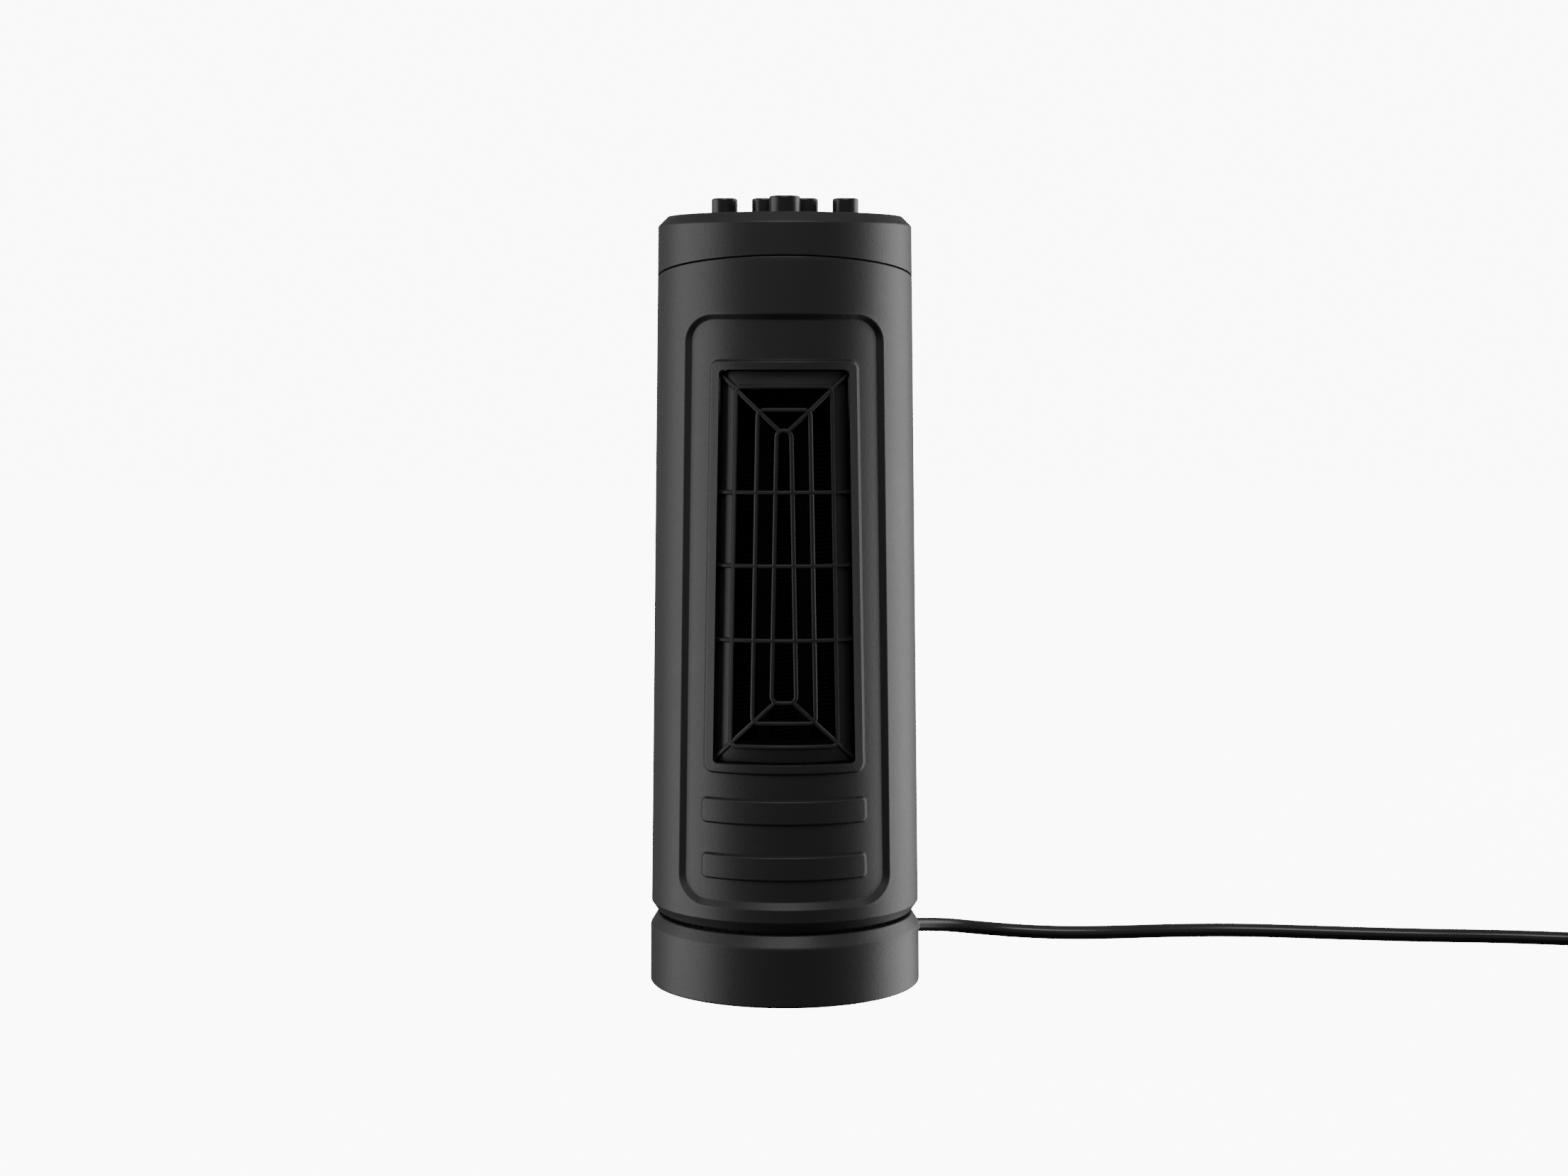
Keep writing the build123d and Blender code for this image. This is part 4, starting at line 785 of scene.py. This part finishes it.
def lidShell():
    # skirt with the sloping seam, 45 degree edge and flat top with five bores
    angle = np.linspace(0, 2 * math.pi, lid["steps"], endpoint=False)
    top, slope, wall = tower["top"], tower["capSlope"], tower["wall"]

    def ring(radius, height):
        return np.stack([radius * np.cos(angle), radius * np.sin(angle), height * np.ones(len(angle))], axis=1)

    seam = lambda radius: tower["seam"] + lid["lift"] - tower["seamTilt"] * radius * np.sin(angle)
    edge = radiusAt(top - slope)
    low = seam(lid["seamRadius"])
    flat = edge - slope
    skirt = [ring(radiusAt(low) - wall, low), ring(radiusAt(low), low), ring(edge, top - slope), ring(flat, top)]
    shell = soften(skirt, {1: 0.3, 2: 0.55})[:-1]
    holes = [(x, y, diameter / 2 + lid["clearance"]) for name, x, y, diameter in lid["keys"]]
    work = bmesh.new()

    def addLoop(points):
        return [work.verts.new(Vector(point) * mm) for point in points]

    def join(first, second):
        size = len(first)
        for i in range(size):
            work.faces.new((first[i], first[(i + 1) % size], second[(i + 1) % size], second[i]))

    def joinAll(rows):
        for first, second in zip(rows, rows[1:]):
            join(first, second)

    rows = [addLoop(loop) for loop in shell]
    blend = [ring(flat + 0.35, top - 0.35), ring(flat + 0.08, top - 0.1), ring(flat - 0.45, top)]
    rows += [addLoop(loop) for loop in blend]
    joinAll(rows)
    under = addLoop(ring(flat - 1.0, top - wall))
    shoulder = addLoop(ring(edge - wall, top - slope - 1.5))
    joinAll([rows[0], shoulder, under])
    bores, steps, boreLow = [], lid["boreSteps"], top - wall - lid["guide"]
    for x, y, radius in holes:
        outer = addLoop(circle(radius + 0.3, top, steps, (x, y)))
        middle = addLoop(circle(radius + 0.09, top - 0.09, steps, (x, y)))
        rim = addLoop(circle(radius, top - 0.3, steps, (x, y)))
        foot = addLoop(circle(radius, boreLow, steps, (x, y)))
        skirtFoot = addLoop(circle(radius + lid["wall"], boreLow, steps, (x, y)))
        skirtTop = addLoop(circle(radius + lid["wall"], top - wall, steps, (x, y)))
        joinAll([outer, middle, rim, foot, skirtFoot, skirtTop])
        bores.append((outer, skirtTop))

    def fill(loops):
        edges = [work.edges.get((loop[i], loop[(i + 1) % len(loop)])) for loop in loops for i in range(len(loop))]
        bmesh.ops.triangle_fill(work, use_beauty=True, edges=edges)

    fill([rows[-1]] + [outer for outer, inner in bores])
    fill([under] + [inner for outer, inner in bores])
    bmesh.ops.recalc_face_normals(work, faces=work.faces)
    mesh = bpy.data.meshes.new("lidShell")
    work.to_mesh(mesh)
    work.free()
    mesh.shade_smooth()
    return mesh


addPiece(lidShell(), "housing_black", "tower", ["top_cap"], sharp=32)


def pushKey(name, x, y, diameter):
    # turned cap with a soft edge, catch flange and stem
    radius, crown, steps = diameter / 2, tower["top"] + lid["rise"], lid["boreSteps"]
    foot = tower["top"] - tower["wall"] - lid["guide"] - lid["slack"] - lid["flangeHeight"]
    low, pad, stem, wide = lid["stemLow"], lid["stemPad"], lid["stemRadius"], radius + lid["flange"]
    lower = [(0.01, low), (pad, low), (pad, low + lid["padHeight"]), (stem, low + lid["padHeight"]), (stem, foot),
             (wide, foot), (wide, foot + lid["flangeHeight"]), (radius, foot + lid["flangeHeight"])]
    upper = [(radius - 1.6, crown), (radius * 0.45, crown - 0.12), (0.01, crown - 0.16)]     # slightly dished
    crownRings = []
    for t in np.linspace(0, 1, 7):      # quarter round on the top edge
        angle = math.radians(90 * t)
        inward, drop = lid["round"] * (1 - math.cos(angle)), lid["round"] * (1 - math.sin(angle))
        crownRings.append(circle(radius - inward, crown - drop, steps, (x, y)))
    body = turned(lower, steps, (x, y), rounds={1: 0.3, 2: 0.3, 6: 0.2}, closed=False)
    tops = turned(upper, steps, (x, y), closed=False)
    return meshOf(name, [(body + crownRings + tops, "cap")])


for keyName, x, y, diameter in lid["keys"]:
    pieceName = "swingKnob" if keyName == "swing_knob" else keyName.replace("key_", "pushKey")
    addPiece(pushKey(pieceName, x, y, diameter), "key_black", keyName, [keyName], sharp=35)
print("lid and keys made")


# repeated pieces, grown by Geometry Nodes
def newTree(name, inputs):
    tree = bpy.data.node_groups.new(name, "GeometryNodeTree")
    for label, kind, value in inputs:
        socket = tree.interface.new_socket(label, in_out="INPUT", socket_type=kind)
        if value is not None:
            socket.default_value = value
    tree.interface.new_socket("Geometry", in_out="OUTPUT", socket_type="NodeSocketGeometry")
    return tree, tree.nodes.new("NodeGroupInput"), tree.nodes.new("NodeGroupOutput")


def finishTree(tree, copies, start, end):
    real = add(tree, "GeometryNodeRealizeInstances")
    coat = add(tree, "GeometryNodeSetMaterial")
    tree.links.new(copies, real.inputs[0])
    tree.links.new(real.outputs[0], coat.inputs["Geometry"])
    tree.links.new(start.outputs["Finish"], coat.inputs["Material"])
    tree.links.new(coat.outputs["Geometry"], end.inputs["Geometry"])


def makeRingTree():
    # copies round a circle, each turned to face outwards
    tree, start, end = newTree("ringOfCopies", [
        ("Piece", "NodeSocketObject", None), ("Count", "NodeSocketInt", 8), ("Radius", "NodeSocketFloat", 0.02),
        ("Start Angle", "NodeSocketFloat", 0.0), ("Centre", "NodeSocketVector", (0, 0, 0)),
        ("Finish", "NodeSocketMaterial", None)])
    ring = add(tree, "GeometryNodeMeshCircle")
    spots = add(tree, "GeometryNodeInstanceOnPoints")
    source = add(tree, "GeometryNodeObjectInfo")
    number = add(tree, "GeometryNodeInputIndex")
    share = add(tree, "ShaderNodeMath", operation="DIVIDE")
    turn = add(tree, "ShaderNodeMath", operation="MULTIPLY")
    turn.inputs[1].default_value = 2 * math.pi
    spin = add(tree, "ShaderNodeCombineXYZ")
    first = add(tree, "ShaderNodeCombineXYZ")
    move = add(tree, "GeometryNodeTransform")
    link = linksIn(tree)
    link(start, "Count", ring, "Vertices")
    link(start, "Radius", ring, "Radius")
    link(ring, "Mesh", spots, "Points")
    link(start, "Piece", source, "Object")
    link(source, "Geometry", spots, "Instance")
    link(number, "Index", share, 0)
    link(start, "Count", share, 1)
    link(share, 0, turn, 0)
    link(turn, 0, spin, "Z")
    link(spin, "Vector", spots, "Rotation")
    link(spots, "Instances", move, "Geometry")
    link(start, "Start Angle", first, "Z")
    link(first, "Vector", move, "Rotation")
    link(start, "Centre", move, "Translation")
    finishTree(tree, move.outputs["Geometry"], start, end)
    return tree


def makeRowTree():
    # copies in straight rows: every point of the carrier starts one
    tree, start, end = newTree("rowsOfCopies", [
        ("Geometry", "NodeSocketGeometry", None), ("Piece", "NodeSocketObject", None), ("Count", "NodeSocketInt", 8),
        ("Step", "NodeSocketVector", (0, 0, 0.003)), ("Finish", "NodeSocketMaterial", None)])
    row = add(tree, "GeometryNodeMeshLine")
    spots = add(tree, "GeometryNodeInstanceOnPoints")
    starts = add(tree, "GeometryNodeInstanceOnPoints")
    source = add(tree, "GeometryNodeObjectInfo")
    link = linksIn(tree)
    link(start, "Count", row, "Count")
    link(start, "Step", row, "Offset")
    link(row, "Mesh", spots, "Points")
    link(start, "Piece", source, "Object")
    link(source, "Geometry", spots, "Instance")
    link(start, "Geometry", starts, "Points")
    link(spots, "Instances", starts, "Instance")
    finishTree(tree, starts.outputs["Instances"], start, end)
    return tree


def makeScrewTree():
    # screws at the carrier's points, each driven home to its own angle
    tree, start, end = newTree("screwsAtPoints", [
        ("Geometry", "NodeSocketGeometry", None), ("Piece", "NodeSocketObject", None),
        ("Direction", "NodeSocketVector", (0, 0, 0)), ("Seed", "NodeSocketInt", 7),
        ("Finish", "NodeSocketMaterial", None)])
    spots = add(tree, "GeometryNodeInstanceOnPoints")
    source = add(tree, "GeometryNodeObjectInfo")
    angle = add(tree, "FunctionNodeRandomValue")
    angle.inputs[3].default_value = 2 * math.pi
    drive = add(tree, "ShaderNodeCombineXYZ")
    driven = add(tree, "GeometryNodeRotateInstances")
    link = linksIn(tree)
    link(start, "Geometry", spots, "Points")
    link(start, "Piece", source, "Object")
    link(source, "Geometry", spots, "Instance")
    link(start, "Direction", spots, "Rotation")
    link(start, "Seed", angle, "Seed")
    link(angle, 1, drive, "Z")
    link(spots, "Instances", driven, "Instances")
    link(drive, "Vector", driven, "Rotation")
    finishTree(tree, driven.outputs["Instances"], start, end)
    return tree


ringTree, rowTree, screwTree = makeRingTree(), makeRowTree(), makeScrewTree()


def growPiece(name, tree, slotName, body, stands, pieceMesh, points=((0, 0, 0),), sharp=38, weighted=True, **values):
    # runs a tree and keeps what it gives as a plain mesh
    carrier = bpy.data.meshes.new("carrier")
    carrier.from_pydata([tuple(value * mm for value in point) for point in points], [], [])
    holder = bpy.data.objects.new("holder", carrier)
    source = bpy.data.objects.new("source", pieceMesh)
    bpy.context.scene.collection.objects.link(holder)
    live = holder.modifiers.new("grow", "NODES")
    live.node_group = tree
    values.update(Finish=finishes[slotName], Piece=source)
    for item in tree.interface.items_tree:
        label = item.name.replace(" ", "")
        if item.in_out == "INPUT" and label in values:
            live[item.identifier] = values[label]
    bpy.context.view_layer.update()
    depsgraph = bpy.context.evaluated_depsgraph_get()
    mesh = bpy.data.meshes.new_from_object(holder.evaluated_get(depsgraph), depsgraph=depsgraph)
    mesh.name = name
    holder.modifiers.clear()
    bpy.data.objects.remove(holder)
    bpy.data.objects.remove(source)
    mesh.shade_smooth()
    print(name, len(mesh.polygons), "faces")
    return addPiece(mesh, slotName, body, stands, sharp=sharp, weighted=weighted)


screwShape = {"steps": 40, "slotHalf": 0.17, "slotReach": 0.62, "pitch": 0.9, "core": 0.78}


def screwMesh(headRadius, headHeight, shankRadius, length):
    # pan head with a cross recess and a threaded shank; the underside of the head is at the origin
    steps = screwShape["steps"]
    angle = np.linspace(0, 2 * math.pi, steps, endpoint=False)
    narrow = np.minimum(np.abs(np.sin(angle)), np.abs(np.cos(angle)))
    cross = np.minimum(screwShape["slotReach"], screwShape["slotHalf"] / np.maximum(narrow, 1e-6)) * headRadius

    def ring(radius, height):
        radius = radius * np.ones(steps)
        return np.stack([radius * np.cos(angle), radius * np.sin(angle), np.full(steps, float(height))], axis=1)

    pitch = screwShape["pitch"]
    loops = [ring(shankRadius * 0.3, -length), ring(shankRadius * 0.8, min(0.9 - length, -0.3))]
    for index in range(int((length - 1.6) / pitch)):
        low = 1.0 - length + index * pitch
        loops += [ring(shankRadius, low), ring(shankRadius * screwShape["core"], low + pitch / 2)]
    loops += [ring(shankRadius, 0), ring(headRadius, 0), ring(headRadius, headHeight * 0.5),
              ring(headRadius * 0.95, headHeight * 0.8), ring(headRadius * 0.8, headHeight), ring(cross, headHeight),
              ring(cross * 0.85, headHeight * 0.4), ring(cross * 0.1, headHeight * 0.3)]
    return meshOf("screw", [(loops, "cap")])


def middlesOf(node):
    # lowest and highest corners of the separate screws in a node
    work = bmesh.new()
    work.from_mesh(frame["nodes"][node].data)
    bmesh.ops.remove_doubles(work, verts=work.verts, dist=1e-6)
    work.verts.ensure_lookup_table()
    seen, boxes = set(), []
    for first in work.verts:
        if first in seen:
            continue
        seen.add(first)
        stack, group = [first], []
        while stack:
            vertex = stack.pop()
            group.append(tuple(vertex.co))
            for edge in vertex.link_edges:
                other = edge.other_vert(vertex)
                if other not in seen:
                    seen.add(other)
                    stack.append(other)
        boxes.append((np.min(group, axis=0) / mm, np.max(group, axis=0) / mm))
    work.free()
    return boxes


# node: name, body, (head radius, head height, shank radius, length under the head), which way the head points
screwPlan = {
    "base_screws": ("baseScrews", "base", (3.2, 1.0, 1.5, 11.0), "down"),
    "motor_screws": ("swingMotorScrews", "base", (2.8, 1.6, 1.5, 1.2), "up"),
    "yoke_screws": ("yokeScrews", "tower", (2.0, 1.0, 1.1, 7.4), "down"),
    "floor_screws": ("floorScrews", "tower", (3.0, 1.0, 1.5, 9.0), "down"),
    "bracket_screws": ("bracketScrews", "tower", (3.0, 1.6, 1.5, 9.4), "down"),
    "fan_motor_screws": ("fanMotorScrews", "tower", (2.4, 1.2, 1.2, 8.4), "up"),
    "duct_screws": ("ductScrews", "tower", (2.3, 1.2, 1.2, 8.4), "both"),
    "housing_screws": ("housingScrews", "tower", (3.0, 2.0, 1.5, 24.0), "back"),
}
headWays = {"up": (0.0, 0.0, 0.0), "down": (math.pi, 0.0, 0.0), "back": (-math.pi / 2, 0.0, 0.0)}
for node, (name, body, size, way) in screwPlan.items():
    spots = {"up": [], "down": [], "back": []}
    boxes = middlesOf(node)
    halfWay = sum(low[2] + high[2] for low, high in boxes) / len(boxes) / 2
    for low, high in boxes:
        x, y, z = (low + high) / 2
        facing = way if way != "both" else ("up" if z > halfWay else "down")
        spots[facing].append({"up": (x, y, high[2] - size[1]), "down": (x, y, low[2] + size[1]),
                              "back": (x, high[1] - size[1], z)}[facing])
    for facing, points in spots.items():
        if points:
            growPiece(name + (facing.capitalize() if way == "both" else ""), screwTree, "screw_steel", body, [node],
                      screwMesh(*size), points=points, sharp=32, weighted=False, Direction=headWays[facing],
                      Seed=len(name) + len(points))
print("screws driven")


# cross-flow wheel: bowed blades between discs, with a hub at each end
wheelBox = [np.array(corner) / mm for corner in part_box("crossflow_wheel")]
wheel = {"centre": 8.0, "radius": 25.0, "blades": 28, "chord": 6.6, "bow": 1.4, "thick": 0.9, "tilt": 52,
         "bladeCircle": 21.6, "disc": 2.0, "drop": 0.5}


def bladeMesh(low, high):
    tilt = math.radians(wheel["tilt"])
    outer, inner = [], []
    for t in np.linspace(-1, 1, 9):
        bow, edge = wheel["bow"] * (0.5 - t * t), wheel["thick"] / 2 * (1 - 0.7 * t * t)
        outer.append((t * wheel["chord"] / 2, bow + edge))
        inner.append((t * wheel["chord"] / 2, bow - edge))
    section = np.array(outer + inner[::-1])
    turnedX = section[:, 0] * math.cos(tilt) - section[:, 1] * math.sin(tilt)
    turnedY = section[:, 0] * math.sin(tilt) + section[:, 1] * math.cos(tilt)
    loops = [np.stack([turnedX, turnedY, np.full(len(section), height)], axis=1) for height in (low, high)]
    return meshOf("blade", [(loops, "cap")])


def wheelDiscs(low, high):
    centre, radius, disc = (0, wheel["centre"]), wheel["radius"], wheel["disc"]
    middle = (low + high) / 2
    soft = {1: 0.4, 2: 0.4, 4: 0.4}
    bottom = [(6.0, low), (radius, low), (radius, low + disc), (8.0, low + disc), (8.0, low + 12), (6.0, low + 12)]
    ring = [(radius - 8.6, middle), (radius, middle), (radius, middle + disc), (radius - 8.6, middle + disc)]
    top = [(2.0, high - 10), (5.0, high - 10), (5.0, high - disc), (radius, high - disc), (radius, high), (2.0, high)]
    return meshOf("crossflowDiscs", [(turned(bottom, 96, centre, soft), "join"),
                                     (turned(ring, 96, centre, {1: 0.4, 2: 0.4}), "join"),
                                     (turned(top, 96, centre, {1: 0.4, 3: 0.4, 4: 0.4}), "join")])


addPiece(wheelDiscs(wheelBox[0][2], wheelBox[1][2]), "inner_black", "rotor", ["crossflow_wheel"])
growPiece("crossflowBlades", ringTree, "inner_black", "rotor", ["crossflow_wheel"],
          bladeMesh(wheelBox[0][2] + wheel["drop"], wheelBox[1][2] - wheel["drop"]), Count=wheel["blades"],
          Radius=wheel["bladeCircle"] * mm, Centre=(0.0, wheel["centre"] * mm, 0.0))
print("wheel made")


# feet with a chamfered tread and two ribs
foot = {"radius": 6.0, "height": 2.6, "circle": 41.0, "count": 4}


def footMesh():
    radius, height = foot["radius"], foot["height"]
    profile = [(0.6, 0.35), (2.0, 0.35), (2.4, 0.0), (3.2, 0.0), (3.6, 0.35), (4.2, 0.35), (4.6, 0.0),
               (radius - 0.5, 0.0), (radius, 0.5), (radius, height), (0.6, height)]
    return meshOf("foot", [(turned(profile, 48, rounds={7: 0.15, 8: 0.2, 9: 0.2}, closed=False), "cap")])


growPiece("rubberFeet", ringTree, "rubber_black", "base", ["rubber_feet"], footMesh(), Count=foot["count"],
          Radius=foot["circle"] * mm)
print("feet made")


# finned strips of the heating pack: folded fins in three rows
finBox = [np.array(corner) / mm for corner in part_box("heater_fins")]
fins = {"rows": 3, "stone": 3.0, "pitch": 1.7, "thick": 0.32, "side": 0.9, "lean": 0.75}


def finMesh(width, depth):
    half, thick, lean = width / 2, fins["thick"], fins["lean"]
    section = np.array([(-half, -lean), (0, 0.0), (half, lean), (half, lean + thick), (0, thick),
                        (-half, thick - lean)])
    loops = [np.stack([section[:, 0], np.full(len(section), y), section[:, 1]], axis=1)
             for y in (-depth / 2, depth / 2)]
    return meshOf("fin", [(loops, "cap")])


def finSides(spots, width, depth, low, high):
    groups = []
    for x in spots:
        for side in (-1, 1):
            inner, outer = x + side * (width / 2 - fins["side"]), x + side * width / 2
            corners = [(inner, -depth / 2), (outer, -depth / 2), (outer, depth / 2), (inner, depth / 2)]
            groups.append(([np.array([(a, finMiddle + b, z) for a, b in corners]) for z in (low, high)], "cap"))
    return meshOf("finSideBars", groups)


finLow, finHigh = finBox
finWide = (finHigh[0] - finLow[0] - (fins["rows"] - 1) * fins["stone"]) / fins["rows"]
finDeep, finMiddle = finHigh[1] - finLow[1], (finLow[1] + finHigh[1]) / 2
finSpots = [finLow[0] + finWide / 2 + index * (finWide + fins["stone"]) for index in range(fins["rows"])]
finCount = int((finHigh[2] - finLow[2] - 2 * fins["lean"] - fins["thick"]) / fins["pitch"]) + 1
growPiece("heaterFins", rowTree, "fin_aluminium", "tower", ["heater_fins"],
          finMesh(finWide - 2 * fins["side"] + 0.2, finDeep),
          points=[(x, finMiddle, finLow[2] + 0.9) for x in finSpots],
          sharp=20, weighted=False, Count=finCount, Step=(0.0, 0.0, fins["pitch"] * mm))
addPiece(finSides(finSpots, finWide, finDeep, finLow[2], finHigh[2]), "fin_aluminium", "tower", ["heater_fins"],
         sharp=20, weighted=False)
print("heating pack made")


# light, floor and backdrop
studio = {
    "worldLow": 0.02, "worldHigh": 0.24, "backdrop": 10.0, "floor": (0.8, 0.8, 0.8),
    "left": {"turn": -88, "distance": 1.3, "width": 1.35, "height": 1.9, "power": 17, "level": 0.1},
    "right": {"turn": 112, "distance": 1.3, "width": 1.25, "height": 1.9, "power": 25, "level": 0.1},
    "front": {"turn": 0, "distance": 0.95, "width": 0.9, "height": 0.55, "power": 7, "level": 1.25},
    "top": {"power": 0.8, "size": 1.0, "height": 1.4},
}


def softBox(name, turn, distance, width, height, power, level):
    light = bpy.data.lights.new(name, "AREA")
    light.shape, light.size, light.size_y, light.energy = "RECTANGLE", width, height, power
    box = bpy.data.objects.new(name, light)
    angle = math.radians(turn)
    box.location = (math.sin(angle) * distance, -math.cos(angle) * distance, level)
    aim = Vector((0, 0, 0.17)) - Vector(box.location)
    box.rotation_euler = aim.to_track_quat("-Z", "Y").to_euler()
    bpy.context.scene.collection.objects.link(box)


softBox("softBoxLeft", **studio["left"])
softBox("softBoxRight", **studio["right"])
softBox("softBoxFront", **studio["front"])
overhead = bpy.data.lights.new("softBoxTop", "AREA")
overhead.size, overhead.energy = studio["top"]["size"], studio["top"]["power"]
overheadObject = bpy.data.objects.new("softBoxTop", overhead)
overheadObject.location = (0, 0.1, studio["top"]["height"])
bpy.context.scene.collection.objects.link(overheadObject)

world = bpy.data.worlds.new("paleStudio")
world.use_nodes = True
bpy.context.scene.world = world
worldTree = world.node_tree
background = worldTree.nodes["Background"]
rays = add(worldTree, "ShaderNodeLightPath")
wayOut = add(worldTree, "ShaderNodeTexCoord")
upDown = add(worldTree, "ShaderNodeSeparateXYZ")
dusk = add(worldTree, "ShaderNodeMapRange", clamp=True)     # darker below than above
for key, value in (("From Min", -0.5), ("From Max", -0.05), ("To Min", studio["worldLow"]),
                   ("To Max", studio["worldHigh"])):
    dusk.inputs[key].default_value = value
glow = add(worldTree, "ShaderNodeMapRange")
glow.inputs["To Max"].default_value = studio["backdrop"]
worldTree.links.new(wayOut.outputs["Generated"], upDown.inputs["Vector"])
worldTree.links.new(upDown.outputs["Z"], dusk.inputs["Value"])
worldTree.links.new(dusk.outputs["Result"], glow.inputs["To Min"])
worldTree.links.new(rays.outputs["Is Camera Ray"], glow.inputs["Value"])
worldTree.links.new(glow.outputs["Result"], background.inputs["Strength"])
background.inputs["Color"].default_value = (1, 1, 1, 1)

floorMesh = bpy.data.meshes.new("studioFloor")
floorMesh.from_pydata([(-4, -4, 0), (4, -4, 0), (4, 4, 0), (-4, 4, 0)], [], [(0, 1, 2, 3)])
paleFloor = bpy.data.materials.new("paleFloor")
paleFloor.use_nodes = True
paper = paleFloor.node_tree.nodes["Principled BSDF"]
paper.inputs["Base Color"].default_value = (*studio["floor"], 1)
paper.inputs["Emission Color"].default_value = (1, 1, 1, 1)
paper.inputs["Emission Strength"].default_value = studio["backdrop"]
paper.inputs["Roughness"].default_value = 0.9
paper.inputs["Specular IOR Level"].default_value = 0.1
floorMesh.materials.append(paleFloor)
studioFloor = bpy.data.objects.new("studioFloor", floorMesh)
studioFloor.location = (0, 0, -0.0005)
bpy.context.scene.collection.objects.link(studioFloor)
studioFloor.visible_glossy = studioFloor.visible_diffuse = studioFloor.visible_shadow = False
print("studio set")
